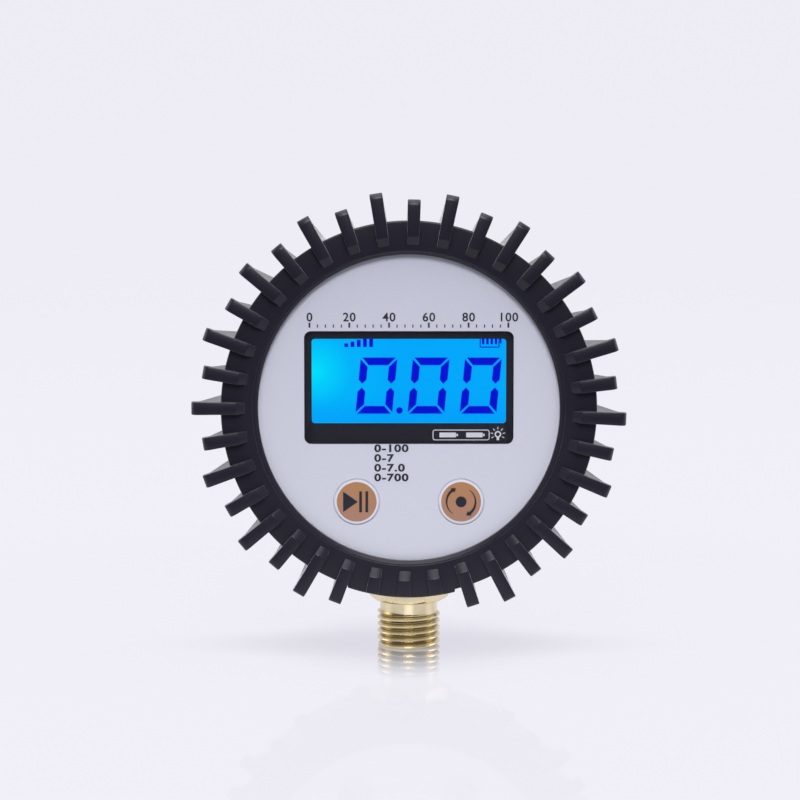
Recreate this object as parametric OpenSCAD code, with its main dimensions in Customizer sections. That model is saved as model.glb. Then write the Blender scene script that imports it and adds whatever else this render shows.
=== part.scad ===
// Digital pressure gauge: a round display head in a ribbed rubber boot, on a
// threaded brass stem. The origin is on the stem's axis at its lower end, +Z is
// up and the face looks along -Y. The head is modelled in its own directions,
// x to the right, y up and z out of the face, from the point where the face's
// axis crosses the stem's axis.

/* [Stem] */
// Outer diameter of the thread
thread_d = 14; // [12.5:0.5:15]
// Distance from one thread groove to the next
thread_pitch = 1.5; // [1:0.25:2]
// Width of the flat on each thread crest
thread_crest = 0.35; // [0.2:0.05:0.5]
// Depth of each thread groove
thread_depth = 0.75; // [0.4:0.05:0.9]
// Length of the threaded end
thread_l = 7.55; // [6:0.05:10]
// Bevel at the end of the thread
thread_bevel = 0.4; // [0.3:0.1:1]
// Diameter of the relief between thread and hexagon
relief_d = 12.7; // [11:0.1:12.9]
// Length of the relief
relief_l = 2.6; // [1:0.05:4]
// Width of the hexagon across its flats
hex_flats = 15.5; // [14:0.5:17]
// Height of the hexagon
hex_l = 5.95; // [5:0.05:7]
// Turn of the hexagon about the stem
hex_turn = -5.3; // [-30:0.1:30]
// Slope of the hexagon's turned corners
hex_corner_slope = 30; // [20:1:40]
// Length of the neck between the hexagon and the case
neck_l = 1.05; // [0.4:0.05:4]
// Diameter of the round part in the case wall and around the sensor
barrel_d = 13; // [12.6:0.1:13.4]
// Diameter of the flange that the case grips
flange_d = 17; // [16:0.1:17.6]
// Thickness of the flange
flange_t = 3; // [2:0.1:3.5]
// Height of the sensor barrel above the flange
barrel_l = 12.5; // [11.5:0.1:13.5]
// Diameter of the air passage
port_d = 3.2; // [2:0.1:4]
// Diameter of the pressure sensor
sensor_d = 10.4; // [9:0.1:10.8]
// Thickness of the pressure sensor
sensor_t = 4.6; // [3.5:0.1:5]
// Thickness of the seal ring's cord
seal_cord = 1.4; // [1:0.1:1.6]
// Thickness of the ring that holds the sensor
retainer_t = 2; // [1.5:0.1:2.5]

/* [Head] */
// Thickness of the case's round wall
case_wall = 2; // [1.5:0.1:2.4]
// Least space between the display's corners and the case wall
display_room = 3; // [1:0.1:4]
// Space between the battery bay and the sensor barrel
sensor_room = 6.2; // [6:0.1:8]
// Space between the cells and the door
cell_room = 1.35; // [0.6:0.05:2]
// Space between the stem's clamp and the front case's face
clamp_room = 1.8; // [1.4:0.1:3]
// Thickness of the front case's face
plate_t = 2; // [1.6:0.1:2.2]
// Thickness of the rear case's back wall
back_t = 2.4; // [2.2:0.1:2.6]
// Thickness of the printed face label
label_t = 0.4; // [0.2:0.05:0.5]
// Thickness of the circuit board
board_t = 1.6; // [1:0.1:1.6]

/* [Boot] */
// Thickness of the boot round the case, at its rim
boot_wall = 3.05; // [2:0.05:4]
// How much thicker the boot is round the stem
stem_pad_t = 0.6; // [0:0.1:1.5]
// How much thinner the boot is at its back edge
boot_taper = 1.1; // [0:0.1:1.6]
// How far the lip laps over the case's face
lip_lap = 4.5; // [3:0.1:6]
// Thickness of the lip over the face
lip_t = 2; // [1.5:0.1:2.5]
// Bevel on the lip's inner edge
lip_bevel = 0.6; // [0.3:0.1:1]
// Thickness of the lip behind the case
back_lip_t = 2.5; // [2:0.1:3]
// How far the boot laps over the back of the case
back_lap = 6; // [4:0.1:6.3]
// Radius of the rounding on the back edge
back_edge_r = 2; // [1:0.1:2.4]
// Radius at the tips of the long ribs
long_rib_r = 47; // [45.5:0.1:49]
// Radius at the tips of the short ribs
short_rib_r = 45.2; // [43:0.1:46.5]
// Width of each rib
rib_w = 2.8; // [2:0.1:3.4]
// Angle from one rib to the next
rib_step = 10; // [10:1:12]
// How far the ribs stand out from the rim face
rib_proud = 1.5; // [0.8:0.1:2]
// Radius where the ribs begin on the rim face
rib_start_r = 35.4; // [34.5:0.1:36]
// Length of the ramp up to the rib's front
rib_ramp = 1.9; // [1:0.1:2.5]
// Depth of a rib at its tip, front to back
rib_tip_depth = 2.5; // [2:0.1:5]
// Radius of the rounding on a rib's tip
rib_nose_r = 1.3; // [0.5:0.1:1.6]
// Length of a rib's tip before its back slopes to the boot
rib_nose_l = 1.6; // [1:0.1:3]
// Angle between a rib's sloping back and the face's axis
rib_back_angle = 15; // [12:1:30]
// Half the angle at the stem in which the ribs are cut flush
flush_angle = 15; // [11:1:19]
// Space between the hexagon's corners and the boot's hole
stem_hole_gap = 0.64; // [0.4:0.01:1.2]
// Turn of the ribs about the face's axis, clockwise from the front
boot_turn = 1.45; // [-3:0.05:3]
// Angle by which the stretched rubber draws the ribs at the sides to the stem
rib_crowding = 1.2; // [0:0.1:2]

/* [Display] */
// Width of the black frame beside the display
bezel_side = 1.45; // [0.8:0.05:3]
// Width of the black frame above the display
bezel_top = 1.6; // [0.8:0.05:3]
// Width of the black frame below the display
bezel_bottom = 4.3; // [1:0.05:5]
// Corner radius of the window
window_corner = 1.5; // [1:0.1:2.5]
// Thickness of the window
window_t = 1; // [0.6:0.1:1.2]
// How far the glass reaches past the display area on each side
glass_side = 1.9; // [1:0.1:3]
// How far the front glass reaches past the display area above and below
glass_end = 4.3; // [3.5:0.1:6]
// Height of the display's centre above the face's centre
view_up = 5.75; // [5.2:0.05:6.5]
// Corner radius of the display area
view_corner = 0.7; // [0.4:0.1:1.5]
// Thickness of the black frame behind the window
bezel_t = 0.4; // [0.2:0.05:0.5]
// Width of the display's glass
glass_w = 46; // [45:0.1:47]
// Height of the front glass, with its contact edges
glass_h = 27; // [26:0.1:27.5]
// Width of each contact edge on the front glass
contact_edge = 2.5; // [2.3:0.1:3]
// Thickness of each sheet of glass
glass_t = 1.1; // [0.7:0.1:1.1]
// Thickness of each polarising film
film_t = 0.2; // [0.1:0.05:0.25]
// Wall of the frame that holds the glass
holder_wall = 1.3; // [1:0.1:1.5]

/* [Keys] */
// Diameter of a key's cap
key_d = 9.74; // [9:0.1:10.5]
// Distance from the face's centre line to a key
key_side = 11.35; // [11:0.05:12]
// Distance of the keys below the face's centre
key_down = 20.5; // [20:0.05:20.9]
// Width of the flange that keeps a key in the case
key_flange_w = 0.93; // [0.5:0.01:1.2]
// Thickness of that flange
key_flange_t = 1; // [0.8:0.1:1.1]
// How far a key stands out of the label
key_proud = 0.15; // [0:0.05:0.4]
// Length of a key's stem between its flange and the switch
key_stem_l = 0.5; // [0.2:0.1:1]
// Travel of a key
key_travel = 0.3; // [0.2:0.05:0.4]
// Width of a switch under a key
switch_w = 6; // [5:0.1:6.2]
// Height of a switch
switch_h = 2.5; // [2:0.1:2.6]
// Diameter of a switch's plunger
plunger_d = 3.2; // [2.5:0.1:3.5]
// How far the plunger stands out of the switch
plunger_out = 0.8; // [0.6:0.1:0.9]

/* [Battery] */
// Diameter of a cell
cell_d = 10.5; // [10:0.1:10.6]
// Length of a cell with its contact nub
cell_l = 44.5; // [43:0.1:44.6]
// Diameter of the contact nub
nub_d = 3.6; // [3:0.1:3.8]
// Height of the contact nub
nub_l = 0.8; // [0.6:0.1:1]
// Space between the two cells
cell_gap = 0.5; // [0.3:0.1:0.7]
// Thickness of a contact plate
contact_t = 0.4; // [0.3:0.05:0.5]
// Length of a contact spring as the cell presses it
spring_l = 4.3; // [4:0.1:4.6]
// Thickness of the spring wire
spring_wire = 0.6; // [0.4:0.05:0.7]
// Radius of the spring at the plate
spring_big_r = 3.6; // [3:0.1:4]
// Radius of the spring at the cell
spring_small_r = 2.4; // [1.8:0.1:2.8]
// Number of turns in a spring
spring_turns = 3; // [2:0.5:3]
// Wall of the battery bay
bay_wall = 1.8; // [1.5:0.1:2]
// Floor of the battery bay
bay_floor_t = 1.2; // [1:0.1:1.6]
// How far the door laps over each side of the bay
door_lap = 1.2; // [1:0.1:1.3]
// Diameter of the door's hinge pins
hinge_pin_d = 1.6; // [1.2:0.1:1.6]
// Length of each hinge pin
hinge_pin_l = 1.2; // [0.8:0.1:1.4]
// Width of the door's snap tongue
tongue_w = 10; // [8:0.5:12]
// Thickness of the snap tongue
tongue_t = 1.2; // [0.8:0.1:1.4]
// Depth of the snap tongue
tongue_l = 1.8; // [1.2:0.1:2]

/* [Screws] */
// Shank diameter of the case screws
case_screw_d = 2.4; // [2:0.1:2.5]
// Head diameter of the case screws
case_screw_head_d = 4.6; // [4:0.1:4.8]
// Head height of the case screws
case_screw_head_l = 1.6; // [1.2:0.1:1.7]
// Shank diameter of the board screws
board_screw_d = 2; // [1.6:0.1:2.1]
// Head diameter of the board screws
board_screw_head_d = 3.8; // [3.4:0.1:4]
// Head height of the board screws
board_screw_head_l = 1.4; // [1:0.1:1.5]
// Length of the board screws under the head
board_screw_l = 5; // [4:0.1:5.6]
// Wall round the screws in their posts
post_wall = 1.55; // [1.2:0.05:1.6]
// Diameter of the screws that clamp the stem
clamp_screw_d = 2.4; // [2:0.1:2.5]
// Length of those screws under the head
clamp_screw_l = 12; // [11:0.5:14]

/* [Hidden] */

$fn = 96;

// Clearances between pieces that fit
fit = 0.15;
screw_fit = 0.05;
key_fit = 0.2;
door_fit = 0.2;
hinge_fit = 0.1;
plunger_fit = 0.1;
cell_fit = 0.25;
glass_fit = 0.2;
spring_fit = 0.02;
tongue_fit = 0.3;
lead_fit = 0.2;
// Overrun of every cut
cut = 1;

// Layers of the head, as distances in front of the stem's axis
clamp_cover_t = 1.15;
clamp_front = flange_d / 2 + fit + clamp_cover_t;
plate_back = clamp_front + clamp_room;
plate_front = plate_back + plate_t;
label_front = plate_front + label_t;
rim_front = label_front + lip_t;
rib_front = rim_front + rib_proud;
bezel_back = label_front - window_t - bezel_t;
board_front = plate_back - key_flange_t - key_stem_l - plunger_out - switch_h;
board_back = board_front - board_t;

// Battery bay
bay_l = cell_l + spring_l + 2 * contact_t;
bay_h = 2 * cell_d + cell_gap + 2 * cell_fit;
board_parts_room = 4.5;
bay_floor_front = board_back - board_parts_room;
bay_floor_back = bay_floor_front - bay_floor_t;
cell_front = bay_floor_back - cell_fit - cell_d / 2;
cell_side = (cell_d + cell_gap) / 2;
tab_w = 3;
tab_out = 1.5;
contact_inset = 1.05;
contact_h = cell_d - 2 * contact_inset;
contact_back = cell_front - cell_d / 2;
case_back = cell_room + back_t - contact_back;
back_front = -case_back + back_t;
lead_d = 1;
lead_run = 5;

// Display area, window and the frame that holds the glass
view_w = glass_w - 2 * glass_side;
view_h = glass_h - 2 * glass_end;
window_w = view_w + 2 * bezel_side;
window_h = view_h + bezel_top + bezel_bottom;
window_up = view_up + (bezel_top - bezel_bottom) / 2;
holder_w = glass_w + 2 * glass_fit + 2 * holder_wall;
holder_h = glass_h + 2 * glass_fit + 2 * holder_wall;

// The case is as wide as the display's corners need, and as high as the stem's
// flange and barrel and the battery bay above them need
flange_rest = 1;
display_reach = norm([holder_w / 2, view_up + holder_h / 2]);
barrel_reach = bay_h / 2 + bay_wall + sensor_room + barrel_l + flange_t + flange_rest;
case_in_r = max(display_reach + display_room, barrel_reach);
case_r = case_in_r + case_wall;
face_r = case_r - lip_lap;
boot_r = case_r + fit + boot_wall;
boot_back_r = boot_r - boot_taper;
back_open_r = case_r - back_lap;

// Stem heights
hex_z = thread_l + relief_l;
head_z = hex_z + hex_l + neck_l + case_r;
flange_z = head_z - case_in_r + flange_rest;
barrel_top = flange_z + flange_t + barrel_l;
retainer_z = barrel_top - retainer_t;
sensor_z = retainer_z - sensor_t;
seal_z = sensor_z - seal_cord;
hex_corner_r = hex_flats / 2 / cos(30);
hex_bottom_r_share = 0.95;
stem_hole_d = 2 * (hex_corner_r + stem_hole_gap);

// The blocks that grip the stem's flange. Their screws stand beside it, as low
// as the case wall lets their heads be.
clamp_wall = 1;
clamp_edge = 0.8;
clamp_head_gap = 0.6;
clamp_head_sink = 0.8;
clamp_screw_head_d = 4.4;
clamp_screw_head_l = 1.2;
clamp_below = 0.6;
clamp_screw_side = flange_d / 2 + clamp_wall + clamp_screw_head_d / 2 + 2 * fit;
clamp_screw_ring_r = case_in_r - clamp_head_gap - clamp_screw_head_d / 2;
clamp_screw_down = sqrt(pow(clamp_screw_ring_r, 2) - pow(clamp_screw_side, 2));
clamp_w = 2 * clamp_screw_side + clamp_screw_head_d + 2 * clamp_head_gap;
clamp_z = flange_z - clamp_below;
clamp_top = head_z - clamp_screw_down + clamp_screw_head_d / 2 + clamp_edge;
clamp_middle = (clamp_z + clamp_top) / 2 - head_z;

// Case screws, on a ring round the face's centre, in posts let into the wall
case_post_r = case_screw_d / 2 + screw_fit + post_wall;
case_post_sink = 1.2;
case_screw_ring_r = case_in_r - case_post_r + case_post_sink;
case_screw_angle = 50;
case_screw_depth = 8;
case_head_sink = 0.2;

// Board screws, two above the display's frame and two below its corners
board_post_wall = 1.15;
board_post_gap = 1.8;
board_post_low_gap = 2.8;
board_post_r = board_screw_d / 2 + screw_fit + board_post_wall;
board_screw_side = 14;
board_screw_low_side = 27.4;
board_screw_up = view_up + holder_h / 2 + board_post_gap + board_post_r;
board_screw_low = view_up - holder_h / 2 - board_post_low_gap - board_post_r;
board_screw_places = [
    [board_screw_side, board_screw_up],
    [-board_screw_side, board_screw_up],
    [board_screw_low_side, board_screw_low],
    [-board_screw_low_side, board_screw_low]
];

// Circuit board outline, cut back above the stem's clamp and round its barrel
board_edge_gap = 1.5;
board_stem_gap = 0.6;
board_r = case_in_r - board_edge_gap;
board_chord_down = head_z - clamp_top - board_stem_gap;
board_notch_w = barrel_d + 2 * board_stem_gap;
board_notch_up = 2 * board_stem_gap;

// Battery door
door_t = back_t;
door_w = bay_l + 2 * door_lap;
door_top = bay_h / 2 + door_lap;
hinge_up = door_top - door_t / 2;
hinge_front = -case_back + door_t / 2;
finger_notch_r = 5;
finger_notch_t = 1.2;

// Distance of the label's edge from the case's edge
label_inset = 0.8;

// Case gasket
gasket_w = 0.8;
gasket_t = 1;

// Places in the display stack
film_front = plate_back;
glass_front = film_front - film_t;
rear_glass_front = glass_front - glass_t;
rear_film_front = rear_glass_front - glass_t;
panel_front = rear_film_front - film_t;
panel_side = 2;
panel_gap = 1.5;
zebra_gap = 0.25;
zebra_h = contact_edge - 2 * zebra_gap;
panel_w = glass_w - 2 * panel_side;
panel_h = glass_h - 2 * zebra_h - 2 * panel_gap;
led_w = 1.4;
led_h = 3;
led_t = 1.2;
key_flange_d = key_d + 2 * key_flange_w;

// Sets the head's own directions: x right, y up, z out of the face
module in_head() {
    translate([0, 0, head_z]) rotate([90, 0, 0]) children();
}

// A solid of revolution layer of the head from one distance to another
module disc(r, from, to) {
    translate([0, 0, min(from, to)]) cylinder(r = r, h = abs(from - to));
}

// A plate with rounded corners, centred, from one distance to another
module rounded_plate(w, h, r, from, to) {
    translate([0, 0, min(from, to)])
        linear_extrude(abs(from - to))
            union() {
                square([w - 2 * r, h], center = true);
                square([w, h - 2 * r], center = true);
                for (sx = [-1, 1], sy = [-1, 1])
                    translate([sx * (w / 2 - r), sy * (h / 2 - r)]) circle(r);
            }
}

// A box centred on x and y, from one distance to another
module slab(w, h, from, to) {
    translate([-w / 2, -h / 2, min(from, to)]) cube([w, h, abs(from - to)]);
}

// The boot

rib_root_sink = 1;
rib_ramp_sink = 0.3;
rib_nose_steps = 4;
stem_pad_angle = 17;

// The front bar of a rib: a ramp that rises out of the rim, then flat to a
// rounded tip
module rib_bar(tip_r) {
    ramp_end = rib_start_r + rib_ramp;
    sunk_r = rib_start_r - rib_ramp * rib_ramp_sink / rib_proud;
    nose_r = min(rib_nose_r, tip_r - ramp_end);
    polygon(concat(
        [
            [sunk_r, rim_front - rib_root_sink],
            [sunk_r, rim_front - rib_ramp_sink],
            [ramp_end, rib_front]
        ],
        [for (k = [0 : rib_nose_steps])
            let (a = 90 * k / rib_nose_steps)
            [tip_r - nose_r * (1 - sin(a)), rib_front - nose_r * (1 - cos(a))]],
        [[tip_r, rib_front - rib_tip_depth]]
    ));
}

// The web behind the bar, which slopes down to the side of the boot
module rib_web(tip_r) {
    root_r = boot_back_r - rib_root_sink;
    web_front = rib_front - rib_tip_depth / 2;
    slope_start_r = tip_r - rib_nose_l;
    slope_l = slope_start_r / tan(rib_back_angle);
    intersection() {
        polygon([
            [0, web_front],
            [slope_start_r, web_front],
            [slope_start_r, rib_front - rib_tip_depth],
            [0, rib_front - rib_tip_depth - slope_l]
        ]);
        translate([root_r, -case_back]) square([slope_start_r, case_back + rib_front]);
    }
}

module rib(tip_r) {
    rotate([90, 0, 0])
        translate([0, 0, -rib_w / 2])
            linear_extrude(rib_w)
                union() {
                    rib_bar(tip_r);
                    rib_web(tip_r);
                }
}

// The ribs stand round the rim, long and short in turn. Those beside the stem
// are cut flush with the pad round it.
module ribs() {
    for (i = [0 : floor(360 / rib_step) - 1]) {
        angle = 90 + i * rib_step;
        placed = angle - boot_turn - rib_crowding * cos(angle);
        tip_r = i % 2 == 0 ? short_rib_r : long_rib_r;
        if (abs(angle - 270) < flush_angle)
            intersection() {
                rotate([0, 0, placed]) rib(tip_r);
                disc(boot_r + stem_pad_t, 0, rib_front);
            }
        else
            rotate([0, 0, placed]) rib(tip_r);
    }
}

// The thicker stretch of the boot's side round the stem
module stem_pad() {
    pad_r = boot_r + stem_pad_t;
    pad_w = 2 * pad_r * sin(stem_pad_angle);
    intersection() {
        difference() {
            disc(pad_r, -case_back, rim_front);
            disc(boot_back_r - rib_root_sink, -case_back - cut, rim_front + cut);
        }
        translate([0, -pad_r, 0]) slab(pad_w, pad_r, -case_back, rim_front);
    }
}

module rubber_boot() {
    inner_r = case_r + fit;
    back = -case_back - back_lip_t;
    color([0.16, 0.16, 0.2])
        in_head() difference() {
            union() {
                rotate_extrude()
                    union() {
                        polygon([
                            [face_r, label_front],
                            [face_r, rim_front - lip_bevel],
                            [face_r + lip_bevel, rim_front],
                            [boot_r, rim_front],
                            [boot_back_r, back + back_edge_r],
                            [boot_back_r - back_edge_r, back + back_edge_r],
                            [boot_back_r - back_edge_r, back],
                            [back_open_r, back],
                            [back_open_r, -case_back],
                            [inner_r, -case_back],
                            [inner_r, label_front]
                        ]);
                        translate([boot_back_r - back_edge_r, back + back_edge_r])
                            intersection() {
                                circle(back_edge_r);
                                translate([0, -back_edge_r])
                                    square(back_edge_r);
                            }
                    }
                ribs();
                stem_pad();
            }
            rotate([90, 0, 0]) translate([0, 0, case_in_r - cut])
                cylinder(d = stem_hole_d, h = boot_r + stem_pad_t - case_in_r + 2 * cut);
        }
}

// The case

module at_case_screws() {
    for (sx = [-1, 1], sy = [-1, 1])
        translate([
            sx * case_screw_ring_r * cos(case_screw_angle),
            sy * case_screw_ring_r * sin(case_screw_angle),
            0
        ]) children();
}

module at_board_screws() {
    for (p = board_screw_places)
        translate([p[0], p[1], 0]) children();
}

module at_clamp_screws() {
    for (s = [-1, 1])
        translate([s * clamp_screw_side, -clamp_screw_down, 0]) children();
}

module at_keys() {
    for (s = [-1, 1])
        translate([s * key_side, -key_down, 0]) children();
}

// The stem's way through the case wall, and the grip round its flange
module stem_way(gap) {
    rotate([90, 0, 0]) {
        translate([0, 0, case_in_r - barrel_l - flange_t - cut])
            cylinder(d = barrel_d + 2 * gap, h = case_wall + barrel_l + flange_t + 3 * cut);
        translate([0, 0, head_z - flange_z - flange_t - gap])
            cylinder(d = flange_d + 2 * gap, h = flange_t + 2 * gap);
    }
}

module front_case() {
    window_hole_w = window_w + 2 * fit;
    window_hole_h = window_h + 2 * fit;
    view_step = 0.3;
    color([0.2, 0.2, 0.22])
        in_head() difference() {
            union() {
                difference() {
                    disc(case_r, 0, plate_front);
                    disc(case_in_r, -cut, plate_back);
                }
                intersection() {
                    at_case_screws() disc(case_post_r, 0, plate_back + cut / 2);
                    disc(case_r - case_wall / 2, 0, plate_back + cut / 2);
                }
                at_board_screws() disc(board_post_r, board_front, plate_back + cut / 2);
            }
            translate([0, window_up, 0])
                rounded_plate(window_hole_w, window_hole_h, window_corner, bezel_back,
                              plate_front + cut);
            translate([0, view_up, 0])
                rounded_plate(view_w + 2 * view_step, view_h + 2 * view_step, view_corner,
                              plate_back - cut, plate_front);
            at_keys() disc(key_d / 2 + key_fit, plate_back - cut, plate_front + cut);
            at_case_screws()
                disc(case_screw_d / 2 + screw_fit, -cut, case_screw_depth + cut);
            at_board_screws()
                disc(board_screw_d / 2 + screw_fit, board_front - cut,
                     board_back + board_screw_l + screw_fit);
            difference() {
                disc(case_r - (case_wall - gasket_w) / 2 + screw_fit, -cut, gasket_t);
                disc(case_in_r + (case_wall - gasket_w) / 2 - screw_fit, -2 * cut, gasket_t + cut);
            }
            stem_way(fit);
        }
}

module case_gasket() {
    color([0.1, 0.1, 0.1])
        in_head() difference() {
            disc(case_r - (case_wall - gasket_w) / 2, 0, gasket_t);
            disc(case_in_r + (case_wall - gasket_w) / 2, -cut, gasket_t + cut);
            rotate([90, 0, 0]) cylinder(d = barrel_d + 4 * fit, h = case_r + cut);
        }
}

module rear_case() {
    color([0.2, 0.2, 0.22])
        in_head() difference() {
            union() {
                difference() {
                    disc(case_r, -case_back, 0);
                    disc(case_in_r, back_front, cut);
                }
                slab(bay_l + 2 * bay_wall, bay_h + 2 * bay_wall, back_front - cut / 2,
                     bay_floor_front);
                intersection() {
                    union() {
                        at_case_screws() disc(case_post_r, back_front - cut / 2, 0);
                        translate([0, clamp_middle, 0])
                            slab(clamp_w, clamp_top - clamp_z, back_front - cut / 2, 0);
                    }
                    disc(case_r - case_wall / 2, -case_back, cut);
                }
            }
            slab(bay_l, bay_h, -case_back - cut, bay_floor_back);
            slab(door_w + 2 * door_fit, 2 * (door_top + door_fit), -case_back - cut,
                 back_front + door_fit);
            for (s = [-1, 1])
                translate([s * (door_w / 2 + door_fit), hinge_up, hinge_front])
                    rotate([0, 90, 0])
                        cylinder(d = hinge_pin_d + 2 * hinge_fit,
                                 h = 2 * (hinge_pin_l + hinge_fit), center = true);
            translate([0, -bay_h / 2 - door_lap, 0])
                disc(finger_notch_r, -case_back - cut, -case_back + finger_notch_t);
            for (sy = [-1, 1])
                translate([bay_l / 2 - contact_t / 2, sy * cell_side, 0])
                    slab(contact_t + 2 * screw_fit, tab_w + 2 * screw_fit, bay_floor_back - cut,
                         bay_floor_front + cut);
            at_case_screws() {
                disc(case_screw_d / 2 + fit, -case_back - cut, cut);
                disc(case_screw_head_d / 2 + fit, -case_back - cut,
                     -case_back + case_head_sink + case_screw_head_l);
            }
            at_clamp_screws()
                disc(clamp_screw_d / 2 + screw_fit,
                     clamp_front - clamp_head_sink - clamp_screw_l - screw_fit, cut);
            stem_way(fit);
        }
}

module case_screws() {
    head_back = -case_back + case_head_sink;
    color([0.7, 0.7, 0.72])
        in_head() at_case_screws() difference() {
            union() {
                disc(case_screw_head_d / 2, head_back, head_back + case_screw_head_l);
                disc(case_screw_d / 2, head_back, case_screw_depth);
            }
            screw_cross(case_screw_head_d, head_back, 1);
        }
}

// The cross slot in a screw's head, cut from its outer face inwards
slot_w_share = 0.16;
slot_l_share = 0.6;
slot_depth_share = 0.18;

module screw_cross(head_d, face, inwards) {
    depth = slot_depth_share * head_d;
    for (turn = [0, 90])
        rotate([0, 0, turn])
            slab(slot_l_share * head_d, slot_w_share * head_d, face - inwards * cut,
                 face + inwards * depth);
}

// The face

module face_label() {
    color([0.72, 0.73, 0.8])
        in_head() difference() {
            disc(case_r - label_inset, plate_front, label_front);
            translate([0, window_up, 0])
                rounded_plate(window_w + 2 * fit, window_h + 2 * fit, window_corner,
                              plate_front - cut, label_front + cut);
            at_keys() disc(key_d / 2 + key_fit, plate_front - cut, label_front + cut);
        }
}

module window_lens() {
    color([0.6, 0.8, 0.9, 0.4])
        in_head() translate([0, window_up, 0])
            rounded_plate(window_w, window_h, window_corner, label_front - window_t,
                          label_front);
}

module window_bezel() {
    color([0.04, 0.04, 0.05])
        in_head() difference() {
            translate([0, window_up, 0])
                rounded_plate(window_w, window_h, window_corner, bezel_back,
                              label_front - window_t);
            translate([0, view_up, 0])
                rounded_plate(view_w, view_h, view_corner, bezel_back - cut,
                              label_front + cut);
        }
}

module key(side) {
    color([0.75, 0.53, 0.4])
        in_head() translate([side * key_side, -key_down, 0]) {
            disc(key_d / 2, plate_back, label_front + key_proud);
            disc(key_flange_d / 2, plate_back - key_flange_t, plate_back);
            disc(plunger_d / 2 - screw_fit, board_front + switch_h + plunger_out,
                 plate_back - key_flange_t);
        }
}

module hold_key() {
    key(-1);
}

module mode_key() {
    key(1);
}

// The display

module at_display() {
    in_head() translate([0, view_up, 0]) children();
}

module lcd_front_film() {
    color([0.1, 0.5, 0.8])
        at_display() slab(glass_w, glass_h - 2 * contact_edge, glass_front, film_front);
}

module lcd_front_glass() {
    color([0.1, 0.65, 0.95])
        at_display() slab(glass_w, glass_h, rear_glass_front, glass_front);
}

module lcd_rear_glass() {
    color([0.1, 0.6, 0.9])
        at_display() slab(glass_w, glass_h - 2 * contact_edge, rear_film_front,
                          rear_glass_front);
}

module lcd_rear_film() {
    color([0.1, 0.5, 0.8])
        at_display() slab(glass_w, glass_h - 2 * contact_edge, panel_front, rear_film_front);
}

module lcd_holder() {
    color([0.92, 0.92, 0.9])
        at_display() difference() {
            slab(holder_w, holder_h, board_front, plate_back);
            slab(glass_w + 2 * glass_fit, glass_h + 2 * glass_fit, board_front - cut,
                 plate_back + cut);
        }
}

module zebra_strip(side) {
    color([0.85, 0.6, 0.65])
        at_display() translate([0, side * (glass_h - zebra_h - 2 * screw_fit) / 2, 0])
            slab(panel_w, zebra_h, board_front, rear_glass_front);
}

module upper_zebra_strip() {
    zebra_strip(1);
}

module lower_zebra_strip() {
    zebra_strip(-1);
}

module backlight_panel() {
    color([0.95, 0.97, 1])
        at_display() slab(panel_w, panel_h, board_front, panel_front);
}

module backlight_led() {
    color([1, 0.95, 0.7])
        at_display() translate([panel_w / 2 + screw_fit + led_w / 2, 0, 0])
            slab(led_w, led_h, board_front, board_front + led_t);
}

// The circuit board

module circuit_board() {
    notch_top = barrel_top + board_notch_up - head_z;
    color([0.05, 0.35, 0.2])
        in_head() difference() {
            disc(board_r, board_back, board_front);
            translate([0, -board_r - board_chord_down, 0])
                slab(2 * board_r, 2 * board_r, board_back - cut, board_front + cut);
            translate([0, notch_top - board_r, 0])
                slab(board_notch_w, 2 * board_r, board_back - cut, board_front + cut);
            at_case_screws() disc(case_post_r + lead_fit, board_back - cut, board_front + cut);
            at_board_screws()
                disc(board_screw_d / 2 + screw_fit, board_back - cut, board_front + cut);
        }
}

module board_screws() {
    head_back = board_back - board_screw_head_l;
    color([0.75, 0.75, 0.78])
        in_head() at_board_screws() difference() {
            union() {
                disc(board_screw_head_d / 2, head_back, board_back);
                disc(board_screw_d / 2, head_back, board_back + board_screw_l);
            }
            screw_cross(board_screw_head_d, head_back, 1);
        }
}

// A chip on the back of the board
module chip(x, y, w, h, t) {
    translate([x, y, 0]) slab(w, h, board_back - t, board_back);
}

processor_w = 9;
processor_t = 1.2;
amplifier_w = 5;
amplifier_h = 4;
amplifier_t = 1.4;
amplifier_x = -12;
amplifier_y = -5;
crystal_d = 2;
crystal_l = 6;
crystal_x = 9;
capacitor_w = 1.6;
capacitor_h = 0.8;
capacitor_x = 8;
capacitor_y = -5;
capacitor_step = 2.4;

module processor() {
    color([0.08, 0.08, 0.09]) in_head() chip(0, 0, processor_w, processor_w, processor_t);
}

module sensor_amplifier() {
    color([0.08, 0.08, 0.09])
        in_head() chip(amplifier_x, amplifier_y, amplifier_w, amplifier_h, amplifier_t);
}

module quartz_crystal() {
    color([0.8, 0.8, 0.82])
        in_head() translate([crystal_x, 0, board_back - crystal_d / 2])
            rotate([90, 0, 0]) cylinder(d = crystal_d, h = crystal_l, center = true);
}

module chip_capacitors() {
    color([0.6, 0.5, 0.35])
        in_head() for (i = [0 : 3])
            chip(capacitor_x + i * capacitor_step, capacitor_y, capacitor_h, capacitor_w,
                 capacitor_h);
}

// The switches

plunger_sink = 0.8;

module switch_body(side) {
    cavity_floor = board_front + switch_h - plunger_sink - key_travel - plunger_fit;
    color([0.1, 0.1, 0.1])
        in_head() translate([side * key_side, -key_down, 0]) difference() {
            slab(switch_w, switch_w, board_front, board_front + switch_h);
            disc(plunger_d / 2 + plunger_fit, cavity_floor, board_front + switch_h + cut);
        }
}

module switch_plunger(side) {
    color([0.9, 0.9, 0.88])
        in_head() translate([side * key_side, -key_down, 0])
            disc(plunger_d / 2, board_front + switch_h - plunger_sink,
                 board_front + switch_h + plunger_out);
}

module hold_switch_body() {
    switch_body(-1);
}

module hold_switch_plunger() {
    switch_plunger(-1);
}

module mode_switch_body() {
    switch_body(1);
}

module mode_switch_plunger() {
    switch_plunger(1);
}

// The leads

// A round wire through a few points, a touch thicker where it bends
bend_share = 1.04;

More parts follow.
